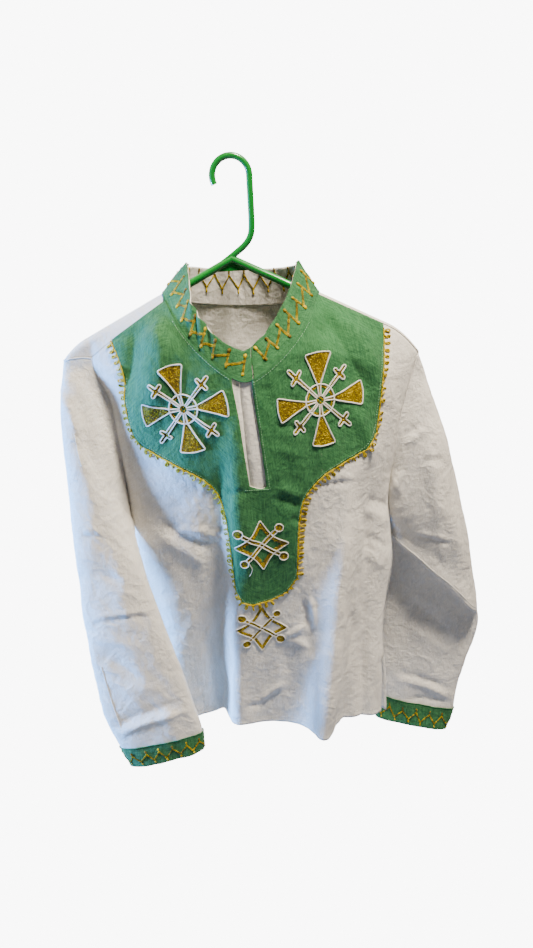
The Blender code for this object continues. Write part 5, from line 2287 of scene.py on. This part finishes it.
@dataclass
class WheelCross(Motif):
    """A cross of four flared arms and four thin arms with crosslets, round a small ring."""

    ring: float = 0.0205
    hub: float = 0.0050
    branch: float = 0.0098
    tip: float = 0.0140
    reach: float = 0.0585
    flare: float = 0.0165
    waist: float = 0.0022
    arm: float = 0.0445
    arm_half: float = 0.0021

    def turned(self, local: Points, degrees: float) -> Points:
        """Places turned about the figure's middle.

        Args:
            local: places right of and above the middle.
            degrees: the turn, anticlockwise seen from the front.

        Returns:
            The new places.
        """
        angle = math.radians(degrees)
        c, s = math.cos(angle), math.sin(angle)
        local = np.asarray(local, dtype=float)
        return np.stack([c * local[..., 0] - s * local[..., 1],
                         s * local[..., 0] + c * local[..., 1]], axis=-1)

    def flared_arm(self, degrees: float) -> None:
        """One flared arm that points up before it is turned.

        Args:
            degrees: the turn, anticlockwise seen from the front.
        """
        flare = self.flare * self.dice.uniform(0.86, 1.08)
        reach = self.reach * self.dice.uniform(0.96, 1.04)
        skew = self.dice.uniform(-0.004, 0.004)
        up = np.linspace(self.ring, reach, 22)
        share = (up - self.ring) / (reach - self.ring)
        half = self.waist + (flare - self.waist) * share**1.12
        middle = skew * share
        bulge = 0.0022
        left = np.stack([middle - half, up], axis=-1)
        right = np.stack([middle + half, up], axis=-1)
        across = np.linspace(0, 1, 12)[None, :, None]
        body = right[:, None, :] * (1 - across) + left[:, None, :] * across
        body[..., 1] += bulge * share[:, None] ** 3 * np.sin(math.pi * across[..., 0])
        self.patch(self.turned(body, degrees))
        stem = np.array([[0.0, self.hub * 0.4], [0.0, self.ring]])
        self.strip(self.turned(stem, degrees), 0.0013)
        edge = 0.0008
        top = body[-1, ::-1] + np.array([0, edge])
        line = np.concatenate([
            [[-0.0012, self.hub], [-self.waist, self.ring]], left[2:-1] - [edge, 0], top,
            right[-2:1:-1] + [edge, 0], [[self.waist, self.ring], [0.0012, self.hub]]])
        self.outline(self.turned(line, degrees), closed=False, soften=1)

    def thin_arm(self, degrees: float) -> None:
        """One thin arm with a crosslet at its end.

        Args:
            degrees: the turn, anticlockwise seen from the front.
        """
        arm = self.arm * self.dice.uniform(0.92, 1.08)
        half = self.arm_half
        side = self.branch * self.dice.uniform(0.85, 1.1)
        tip = arm + self.tip * self.dice.uniform(0.85, 1.1)
        slant = self.dice.uniform(-0.0015, 0.0015)
        self.strip(self.turned([[0, self.hub], [0, tip - 0.001]], degrees), 0.0012)
        bar = [[-side + 0.001, arm - slant], [side - 0.001, arm + slant]]
        self.strip(self.turned(bar, degrees), 0.0016)
        wide = half * 1.15
        low, high, corner = arm - wide, arm + wide, 0.0015
        left, right = (
            [[0.0012 * way, self.hub], [half * way, low - 0.002], [half * way, low],
             [(half + corner) * way, low], [side * way, low + slant * way],
             [(side + 0.0012) * way, arm + slant * way], [side * way, high + slant * way],
             [(wide + corner) * way, high], [wide * way, high], [wide * way, high + corner],
             [wide * way, tip]]
            for way in (-1, 1))
        line = left + [[0, tip + 0.0016]] + right[::-1]
        self.outline(self.turned(line, degrees), closed=False, soften=1)

    def work_figure(self) -> list[Object]:
        """The whole cross.

        Returns:
            The pieces.
        """
        for quarter in range(4):
            self.flared_arm(90 * quarter + self.dice.uniform(-4, 4))
        angle = np.linspace(0, 2 * math.pi, 49)
        circle = np.stack([np.cos(angle), np.sin(angle)], axis=-1)
        self.strip(circle * (self.ring - 0.0030), 0.0012)
        self.outline(circle[:-1] * self.ring, soften=1)
        for quarter in range(4):
            self.thin_arm(45 + 90 * quarter + self.dice.uniform(-5, 5))
        return self.build()


@dataclass
class BarredDiamond(Motif):
    """A hollow diamond with drawn-in sides, crossed by two bars with balls at their ends."""

    half_wide: float = 0.0375
    half_high: float = 0.0335
    bar: float = 0.0375
    ball: float = 0.0052
    band: float = 0.0024
    bar_half: float = 0.0025
    edge: float = 0.0011

    def side_line(self, scale: float) -> Points:
        """The diamond's outline at a scale.

        Args:
            scale: 1 for the outline.

        Returns:
            The points.
        """
        wide, high = self.half_wide, self.half_high
        corners = np.array([[0, high], [wide, 0], [0, -high], [-wide, 0]])
        line = []
        for first, last in zip(corners, np.roll(corners, -1, axis=0)):
            for part in np.linspace(0, 1, 12, endpoint=False):
                straight = first * (1 - part) + last * part
                line.append(straight * scale * (1 - 0.22 * math.sin(math.pi * part)))
        return np.array(line)

    def work_figure(self) -> list[Object]:
        """The whole diamond.

        Returns:
            The pieces.
        """
        middle = self.side_line(0.86)
        self.strip(np.concatenate([middle, middle[:1]]), self.band)
        self.outline(self.side_line(1.0), soften=1)
        for degrees in (47 + self.dice.uniform(-3, 3), -38 + self.dice.uniform(-3, 3)):
            angle = math.radians(degrees)
            ahead = np.array([math.cos(angle), math.sin(angle)])
            across = np.array([-ahead[1], ahead[0]])
            ends = (-self.bar * self.dice.uniform(0.93, 1.03), self.bar * self.dice.uniform(0.93, 1.03))
            self.strip(np.array([ahead * (ends[0] + self.ball), ahead * (ends[1] - self.ball)]),
                       self.bar_half - self.edge)
            for edge in (-self.bar_half, self.bar_half):
                line = np.array([ahead * (ends[0] + self.ball) + across * edge,
                                 ahead * (ends[1] - self.ball) + across * edge])
                self.outline(line, closed=False, soften=0)
            for end in ends:
                self.disc(ahead * end, self.ball * self.dice.uniform(0.9, 1.1))
        return self.build()


@dataclass
class Zigzag:
    """A zigzag of gold chain stitch with a knotted spur at each turn."""

    work: ThreadWork
    looks: Wardrobe
    pitch: float = 0.020
    high: float = 0.25
    low: float = 0.70
    spur: float = 0.10
    lean: float = 0.16
    lean_change: float = 0.0
    lift: float = 0.0004
    width: float = 0.0019
    knot: Triple = (0.0050, 0.0037, 0.0026)

    def ladder(self, name: str, skin: LatticeSkin, start: float, end: float, seed: int) -> Object:
        """Knotted bars across the skin, each joined to the next by a slanting stitch line.

        Args:
            name: the piece's name.
            skin: what it lies on.
            start: the distance along the skin where it starts.
            end: where it ends.
            seed: the seed of its unevenness.

        Returns:
            The finished piece.
        """
        dice = np.random.default_rng(seed)
        count = max(2, int(round((end - start) / self.pitch)))
        step = (end - start) / count
        runs, knots, before = [], [], None
        for i in range(count + 1):
            place = start + i * step + dice.uniform(-0.07, 0.07) * step
            lean = (self.lean + self.lean_change * i / count) * self.pitch
            upper = np.array((min(max(place, start), end), self.high + dice.uniform(-0.04, 0.04)))
            lower = np.array((min(max(place + lean, start), end), self.low + dice.uniform(-0.04, 0.04)))
            runs.append(skin.run([upper, lower], self.lift))
            if before is not None:
                link = [before[0] * 0.72 + before[1] * 0.28, upper * 0.12 + lower * 0.88]
                runs.append(skin.run(link, self.lift))
            before = (upper, lower)
            first, out = skin.spot(*upper)
            last, other = skin.spot(*lower)
            along = unit(last - first)
            knots.append(Knot(first + out * self.lift, out, along))
            knots.append(Knot(last + other * self.lift, other, along))
        return self.worked(name, runs, knots)

    def worked(self, name: str, runs: Sequence[Run], knots: Sequence[Knot]) -> Object:
        """The chain and its knots as one piece.

        Args:
            name: what the object is called.
            runs: the lines.
            knots: the knots.

        Returns:
            The object.
        """
        chain = self.work.sewn(f"{name}_chain", runs, self.work.chain, self.looks.gold, Spacing=0.0022,
                               Length=0.0036, Width=self.width, Height=0.0009)
        length, width, height = self.knot
        lumps = self.work.grow(self.work.points(f"{name}_knots", knots), self.work.knots, self.looks.gold,
                               Length=length, Width=width, Height=height)
        return dress(joined(name, (chain, lumps)), self.looks.gold)

    def build(self, name: str, skin: LatticeSkin, start: float, end: float, seed: int) -> Object:
        """The zigzag along a skin.

        Args:
            name: the piece's name.
            skin: what it lies on.
            start: the distance along the skin where it starts.
            end: where it ends.
            seed: the seed of its unevenness.

        Returns:
            The finished piece.
        """
        dice = np.random.default_rng(seed)
        count = max(2, int(round((end - start) / self.pitch)))
        step = (end - start) / count
        turns, knots, spurs = [], [], []
        for i in range(2 * count + 1):
            upper = i % 2 == 0
            place = start + i * step / 2 + dice.uniform(-0.06, 0.06) * step
            share = (self.high if upper else self.low) + dice.uniform(-0.03, 0.03)
            turns.append((min(max(place, start), end), share))
            reach = -self.spur if upper else self.spur
            tip = (turns[-1][0] + self.lean * step * (-0.3 if upper else 1), share + reach)
            spurs.append((turns[-1], tip))
            first, out = skin.spot(*turns[-1])
            last, _ = skin.spot(*tip)
            knots.append(Knot(last + out * self.lift * 1.5, out, unit(last - first)))
        runs = [skin.run(turns, self.lift)]
        runs += [skin.run(list(spur), self.lift, steps=3) for spur in spurs]
        return self.worked(name, runs, knots)


@dataclass
class Embroidery:
    """All the thread work on the shirt."""

    skin: FrontSkin
    work: ThreadWork
    looks: Wardrobe
    front: FrontPanel
    back: BackPanel
    collar: Collar
    right: Sleeve
    left: Sleeve

    def edging(self) -> Object:
        """The gold loop edging that follows the yoke's outline, with the cord at its foot.

        Returns:
            The object.
        """
        corners = [(corner.x, corner.down) for corner in YOKE_OUTLINE[2:-1]]
        corners = [(-0.168, 0.212)] + corners + [(0.1872, 0.214)]
        line = softened(corners, 1)
        foot = self.skin.run(line, 0.0006)
        rail = self.work.cords("edging_foot", [foot], self.looks.gold, 0.0008)
        loops = self.work.sewn("edging_loops", [foot], self.work.edging, self.looks.gold, Radius=0.0011,
                               Sides=6, Pitch=0.0086, Reach=0.0088, Curl=0.0033, Unevenness=0.16)
        return dress(joined("yoke_edging", (rail, loops)), self.looks.gold)

    def figures(self) -> None:
        """The two wheel crosses and the two diamonds."""
        for name, x, down, turn, seed, stretch in (("cross_right", -0.076, 0.294, 10, 5, (0.90, 0.94)),
                                                   ("cross_left", 0.098, 0.292, 5, 8, (0.90, 1.0))):
            cross = WheelCross(self.skin, self.work, self.looks, name, x, down, turn, seed, stretch=stretch)
            cross.work_figure()
        BarredDiamond(self.skin, self.work, self.looks, "diamond_upper", 0.0135, 0.488, 1, 12,
                      cord=0.0008, half_high=0.0385, band=0.0028).work_figure()
        BarredDiamond(self.skin, self.work, self.looks, "diamond_lower", 0.007, 0.6265, -2, 15, cord=0.0007,
                      half_wide=0.0385, half_high=0.0415, bar=0.0345, ball=0.0056, band=0.0022,
                      bar_half=0.0024, edge=0.0007).work_figure()

    def zigzags(self) -> None:
        """The zigzags on the collar, inside it and on the cuffs."""
        collar = self.collar
        outer = LatticeSkin((collar.outer + collar.out * TRIM_WALL)[:, ::-1], collar.out[:, ::-1])
        Zigzag(self.work, self.looks, 0.0215, 0.20, 0.74, lean=0.25, lean_change=-0.85, width=0.0022,
               knot=(0.0060, 0.0046, 0.0032)).ladder("collar_zigzag", outer, 0.008, outer.length - 0.008, 3)
        inner = LatticeSkin(collar.lining, -collar.lining_out)
        inside = Zigzag(self.work, self.looks, 0.0215, 0.16, 0.52, 0.10, 0.0, width=0.0013,
                        knot=(0.0062, 0.0026, 0.0018))
        inside.build("collar_inside_zigzag", inner, 0.012, inner.length - 0.012, 7)
        for sleeve, name, seed, pitch in ((self.right, "cuff_right_zigzag", 11, 0.0203),
                                          (self.left, "cuff_left_zigzag", 13, 0.0222)):
            skin = LatticeSkin(sleeve.cuff_points, sleeve.cuff_out, closed=True)
            Zigzag(self.work, self.looks, pitch, 0.35, 0.73, 0.12, 0.05, width=0.0013,
                   knot=(0.0042, 0.0032, 0.0024)).build(name, skin, 0.0, skin.length, seed)

    def stitches(self) -> None:
        """Rows of plain sewing: collar seam, slit, yoke edge, hem and cuffs."""
        work, looks, skin = self.work, self.looks, self.skin
        rows = []
        for ends in ((-0.082, -0.016), (0.016, 0.088)):
            x = np.linspace(*ends, 60)
            down = -self.front.form.neck_height(x, True) + 0.0045
            rows.append(skin.run(np.stack([x, down], axis=-1), 0.0004))
        rows.append(skin.run([(0.0150, 0.262), (0.0285, 0.404)], 0.0004))
        inside = [(corner.x * 0.985, corner.down - 0.0025) for corner in YOKE_OUTLINE[3:-1]]
        rows.append(skin.run(softened(inside, 2), 0.0004))
        pale = work.sewn("green_stitches", rows, work.dashes, looks.pale_thread, Spacing=0.0034,
                         Length=0.0024, Width=0.0008, Height=0.0007)
        dress(pale, looks.pale_thread)
        rows = []
        for panel in (self.front, self.back):
            hem = panel.points + panel.out * COTTON_WALL
            row = int(np.argmin(np.abs(hem[:, 10, 2] + HEM_DOWN - 0.009)))
            rows.append(Run(hem[row] + panel.out[row] * 0.0003, panel.out[row]))
        white = work.sewn("white_stitches", rows, work.dashes, looks.white, Spacing=0.0036, Length=0.0025,
                          Width=0.0007, Height=0.0006)
        dress(white, looks.white)
        bar = skin.run([(-0.003, 0.4035), (0.0265, 0.4045)], 0.0006)
        tack = work.sewn("slit_bar_stitch", [bar], work.dashes, looks.pale_thread, Spacing=0.0022,
                         Length=0.0018, Width=0.0011, Height=0.0008)
        dress(tack, looks.pale_thread)
        cuffs = []
        for sleeve in (self.right, self.left):
            cuff = LatticeSkin(sleeve.cuff_points, sleeve.cuff_out, closed=True)
            around = [(run, 0.0) for run in np.linspace(0, cuff.length, 60)]
            cuffs.append(cuff.run(around, 0.0001, closed=True, steps=3))
        piping = work.cords("cuff_edge_cord", cuffs, looks.green_seam, 0.0007)
        dress(piping, looks.green_seam)

    def rolled(self, name: str, runs: Sequence[Run], look: Material, radius: float) -> None:
        """A seam's finished roll, eight-sided, along lines."""
        dress(self.work.cords(name, runs, look, radius, 8), look)

    def collar_seam(self) -> None:
        """The rolled seam at the collar's foot."""
        collar = self.collar
        foot = collar.outer[-1] + collar.out[-1] * (TRIM_WALL * 0.4)
        roll = Run(foot, collar.out[-1])
        self.rolled("collar_seam", [roll], self.looks.green_seam, 0.0011)

    def collar_tab(self) -> None:
        """The small turned end of the collar that shows at the top of the slit."""
        rows, columns = 7, 12
        points = []
        for share in np.linspace(0, 1, rows):
            left = np.array([-0.0135, 0.2545]) * (1 - share) + np.array([0.0065, 0.2715]) * share
            right = np.array([0.0105, 0.2480]) * (1 - share) + np.array([0.0080, 0.2720]) * share
            points.append([left * (1 - part) + right * part for part in np.linspace(1, 0, columns)])
        lattice, _ = self.skin.patch(np.array(points), np.full((rows, columns), 0.0006))
        made = frozen(solid_wall(lattice_object("collar_tab", lattice), TRIM_WALL))
        dress(made, self.looks.green)

    def seams(self) -> None:
        """The raised armhole seams."""
        runs = []
        for sleeve in (self.right, self.left):
            out = lattice_normals(sleeve.points, closed=True)[1]
            runs.append(Run(sleeve.points[0] + out * (COTTON_WALL * 0.8), out, True))
        self.rolled("armhole_seams", runs, self.looks.seam, 0.0011)

    def sleeve_seams(self) -> None:
        """The seams that press through the sleeves."""
        lines = ([(-0.2245, 0.664), (-0.2165, 0.714), (-0.2065, 0.761)],
                 [(-0.2275, 0.330), (-0.2255, 0.352), (-0.2215, 0.372)])
        runs = [self.skin.run(softened(line, 2), 0.0002) for line in lines] + [self.left.lip_seam()]
        self.rolled("sleeve_seam", runs, self.looks.seam, 0.0007)

    def loose_thread(self) -> None:
        """The short end of white thread under the upper diamond."""
        bends = ((-0.005, 0.511), (-0.003, 0.517), (-0.001, 0.522), (-0.003, 0.528), (-0.006, 0.533))
        line = self.skin.run(softened(bends, 2), 0.0012)
        made = self.work.cords("loose_thread", [line], self.looks.white, 0.0004)
        dress(made, self.looks.white)

    def build(self) -> None:
        """Everything in order."""
        self.edging()
        self.figures()
        self.zigzags()
        self.stitches()
        self.seams()
        self.collar_seam()
        self.collar_tab()
        self.sleeve_seams()
        self.loose_thread()


@dataclass
class Hanger:
    """The tubular hanger: hook, arms, bottom bar and the web at the apex."""

    sizes: HangerSizes

    def arc(self, centre_x: float, centre_z: float, radius: float, start: float, end: float,
            count: int) -> list[tuple[float, float]]:
        """Points along an arc, in degrees from +X toward +Z."""
        angles = np.radians(np.linspace(start, end, count))
        return [(centre_x + radius * math.cos(a), centre_z + radius * math.sin(a)) for a in angles]

    def tube(self, name: str, points: Sequence, radius: float, cyclic: bool) -> Object:
        """A round rod along a list of points, as a welded mesh.

        Args:
            name: what the object is called.
            points: x and z along it.
            radius: the radius.
            cyclic: whether it is a ring.

        Returns:
            The object.
        """
        line = bpy.data.curves.new(name, "CURVE")
        line.dimensions = "3D"
        line.bevel_depth = radius
        line.bevel_resolution = 8
        line.use_fill_caps = True
        spline = line.splines.new("POLY")
        spline.points.add(len(points) - 1)
        for point, (x, z) in zip(spline.points, points):
            point.co = (x, 0, z, 1)
        spline.use_cyclic_u = cyclic
        made = placed(name, line)
        graph = bpy.context.evaluated_depsgraph_get()
        shape = bmesh.new()
        shape.from_mesh(bpy.data.meshes.new_from_object(made.evaluated_get(graph)))
        bpy.data.objects.remove(made)
        bmesh.ops.remove_doubles(shape, verts=shape.verts, dist=0.00001)
        bmesh.ops.recalc_face_normals(shape, faces=shape.faces)
        return placed_shape(name, shape)

    def web(self) -> Object:
        """The thin triangle that fills the apex under the arms, with its small moulding dimple.

        Returns:
            The object.
        """
        shape = bmesh.new()
        corners = ((-0.0330, -0.1335), (-0.0046, -0.1200), (0.0240, -0.1335))
        near = [shape.verts.new((x, -self.sizes.web / 2, z)) for x, z in corners]
        far = [shape.verts.new((x, self.sizes.web / 2, z)) for x, z in corners]
        shape.faces.new(near[::-1])
        shape.faces.new(far)
        for i in range(3):
            j = (i + 1) % 3
            shape.faces.new((near[i], near[j], far[j], far[i]))
        bmesh.ops.recalc_face_normals(shape, faces=shape.faces)
        bmesh.ops.bevel(shape, geom=list(shape.edges), offset=0.0006, segments=2, affect="EDGES")
        dimple = bmesh.ops.create_uvsphere(shape, u_segments=16, v_segments=8, radius=0.0018)
        for vertex in dimple["verts"]:
            vertex.co = Vector((vertex.co.x - 0.0200, vertex.co.y * 0.35 - self.sizes.web / 2,
                                vertex.co.z - 0.1298))
        self.put_in_order(shape)
        return placed_shape("web", shape)

    def put_in_order(self, shape: bmesh.types.BMesh) -> None:
        """Orders a shape's corners and faces by where they are, because Bevel's order varies by run.

        Args:
            shape: the shape.
        """
        for parts in (shape.verts, shape.faces):
            by_place = sorted(
                parts, key=lambda part: sorted(tuple(end.co) for end in getattr(part, "verts", (part,))))
            for index, part in enumerate(by_place):
                part.index = index
            parts.sort()

    def build(self, looks: Wardrobe) -> Object:
        """The whole hanger as one piece.

        Args:
            looks: the finished materials.

        Returns:
            The object.
        """
        sizes = self.sizes
        slope = math.degrees(math.atan(sizes.arm_slope))
        bend, bar = sizes.bend_radius, -sizes.bar_down
        end_x = sizes.apex_x + sizes.half - bend
        far_x = sizes.apex_x - sizes.half + bend
        rise_to_arm = bend / math.cos(math.radians(slope))
        end_z = -sizes.apex_down - sizes.arm_slope * (end_x - sizes.apex_x) - rise_to_arm
        path = [(sizes.apex_x, -sizes.apex_down)]
        path += self.arc(end_x, end_z, bend, 90 - slope, 0, 12)
        path += self.arc(end_x, bar + bend, bend, 0, -90, 14)
        path += self.arc(far_x, bar + bend, bend, -90, -180, 14)
        path += self.arc(far_x, end_z, bend, 180, 90 + slope, 12)
        hook_inside = sizes.hook_radius - sizes.rod_radius
        hook = self.arc(0, -hook_inside, sizes.hook_radius, 205, 0, 40)
        stem = [(sizes.hook_radius, -0.0480), (0.0230, -0.0800), (0.0208, -0.0920), (0.0140, -0.1015),
                (0.0050, -0.1085), (-0.0080, -0.1178), (-0.0240, -0.1281)]
        hook += [tuple(point) for point in softened([hook[-1]] + stem)][1:]
        made = joined("hanger_moulding", (self.tube("frame", path, sizes.arm_radius, True),
                                          self.tube("hook", hook, sizes.rod_radius, False), self.web()))
        made.data.set_sharp_from_angle(angle=math.radians(50))
        return dress(made, looks.plastic, "hanger")


@dataclass
class Studio:
    """Floor, lights and camera."""

    camera_place: Triple = (0.025, -1.02, -0.042)
    pitch: float = math.radians(20)
    roll: float = math.radians(3)
    focal_px: float = 770.0
    frame_height: float = 948.0
    fill: float = 0.055
    white: float = 9.0

    def build_camera(self) -> Object:
        """The camera at the photograph's viewing angle.

        Returns:
            The object.
        """
        data = bpy.data.cameras.new("camera")
        data.sensor_width = 36.0
        data.lens = self.focal_px / self.frame_height * 36.0
        data.clip_end = 60.0
        made = placed("camera", data)
        right = Vector((1, 0, 0))
        up = Vector((0, math.sin(self.pitch), math.cos(self.pitch)))
        forward = Vector((0, math.cos(self.pitch), -math.sin(self.pitch)))
        across = right * math.cos(self.roll) - up * math.sin(self.roll)
        above = right * math.sin(self.roll) + up * math.cos(self.roll)
        turn = Matrix((across, above, -forward)).transposed().to_4x4()
        made.matrix_world = Matrix.Translation(Vector(self.camera_place)) @ turn
        bpy.context.scene.camera = made
        return made

    def seen_as(self, bench: NodeBench, lights: NodeSocket, seen: NodeSocket, end: Node) -> None:
        """Ends a surface that lights the scene in one way and looks another way to the camera.

        Args:
            bench: the node helper.
            lights: what lights the scene.
            seen: what the camera sees.
            end: the output node.
        """
        choice = bench.node("ShaderNodeMixShader")
        camera = bench.node("ShaderNodeLightPath").outputs["Is Camera Ray"]
        for socket, value in zip(choice.inputs, (camera, lights, seen)):
            bench.feed(socket, value)
        bench.tune(end, Surface=choice.outputs[0])

    def build_floor(self) -> Object:
        """A plain pale floor well below the shirt.

        Returns:
            The object.
        """
        shape = bmesh.new()
        bmesh.ops.create_grid(shape, x_segments=8, y_segments=8, size=14.0)
        for vertex in shape.verts:
            vertex.co.z = -1.20
        made = placed_shape("floor", shape)
        paint, bench, shader = painted("floor paint")
        bench.tune(shader, Base_Color=(0.30, 0.29, 0.27, 1), Roughness=0.9)
        glow = bench.get("ShaderNodeEmission", Strength=self.white)
        self.seen_as(bench, shader.outputs[0], glow, paint.node_tree.nodes["Material Output"])
        made.data.materials.append(paint)
        return made

    def light(self, name: str, place: Triple, aim: Triple, size: float, power: float,
              colour: Triple) -> None:
        """One soft area light that looks at a place.

        Args:
            name: what the object is called.
            place: where it stands.
            aim: where it looks.
            size: its width.
            power: its power in watts.
            colour: its colour.
        """
        data = bpy.data.lights.new(name, "AREA")
        data.shape = "DISK"
        data.size = size
        data.energy = power
        data.color = colour
        made = placed(name, data)
        made.location = place
        made.rotation_euler = (Vector(aim) - Vector(place)).to_track_quat("-Z", "Y").to_euler()

    def build(self) -> None:
        """Everything round the shirt."""
        self.build_camera()
        self.build_floor()
        world = bpy.data.worlds.new("studio")
        bpy.context.scene.world = world
        world.use_nodes = True
        bench = NodeBench(world.node_tree)
        fill = world.node_tree.nodes["Background"]
        bench.tune(fill, Color=(1.0, 0.94, 0.85, 1), Strength=self.fill)
        seen = bench.get("ShaderNodeBackground", Strength=self.white, Color=(1, 1, 1, 1))
        self.seen_as(bench, fill.outputs[0], seen, world.node_tree.nodes["World Output"])
        self.light("warm_key", (0.60, -0.66, 1.60), (0.02, 0, -0.40), 0.35, 165.0, (1.0, 0.88, 0.72))
        self.light("cool_side", (-1.55, -0.06, -0.50), (-0.02, 0, -0.56), 0.35, 200.0, (0.18, 0.43, 1.0))
        self.light("top_back", (-0.2, 1.2, 1.2), (0, 0, -0.4), 1.2, 14.0, (1.0, 0.95, 0.88))


def main() -> None:
    """Builds every piece in order and reports each."""
    logging.basicConfig(level=logging.INFO, format="%(message)s")
    form = BodyForm()
    looks = Wardrobe.build()
    studio = Studio()
    studio.build()
    front = FrontPanel(form)
    panel = front.build_panel(looks)
    yoke = front.build_yoke(looks)
    front.build_strips(looks)
    back = BackPanel(form)
    back_cloth = back.build(looks)
    collar = Collar(form)
    collar.build(looks)
    right = Sleeve(form, "right", RIGHT_SLEEVE, Relief(RIGHT_SLEEVE_CREASES, (), 21),
                   Cut(0.38, 0.57, 0.128), Cut(0.265, 0.035, 0.0092))
    right_pieces = right.build(looks)
    left = Sleeve(form, "left", LEFT_SLEEVE, Relief(LEFT_SLEEVE_CREASES, (), 33),
                  Cut(0.38, 0.61, 0.145), Cut(0.258, 0.043, 0.0110))
    left_pieces = left.build(looks)
    skin = FrontSkin([panel, yoke, back_cloth, right_pieces[0], left_pieces[0]])
    Embroidery(skin, ThreadWork(), looks, front, back, collar, right, left).build()
    Hanger(form.hanger).build(looks)


if __name__ == "__main__":
    main()
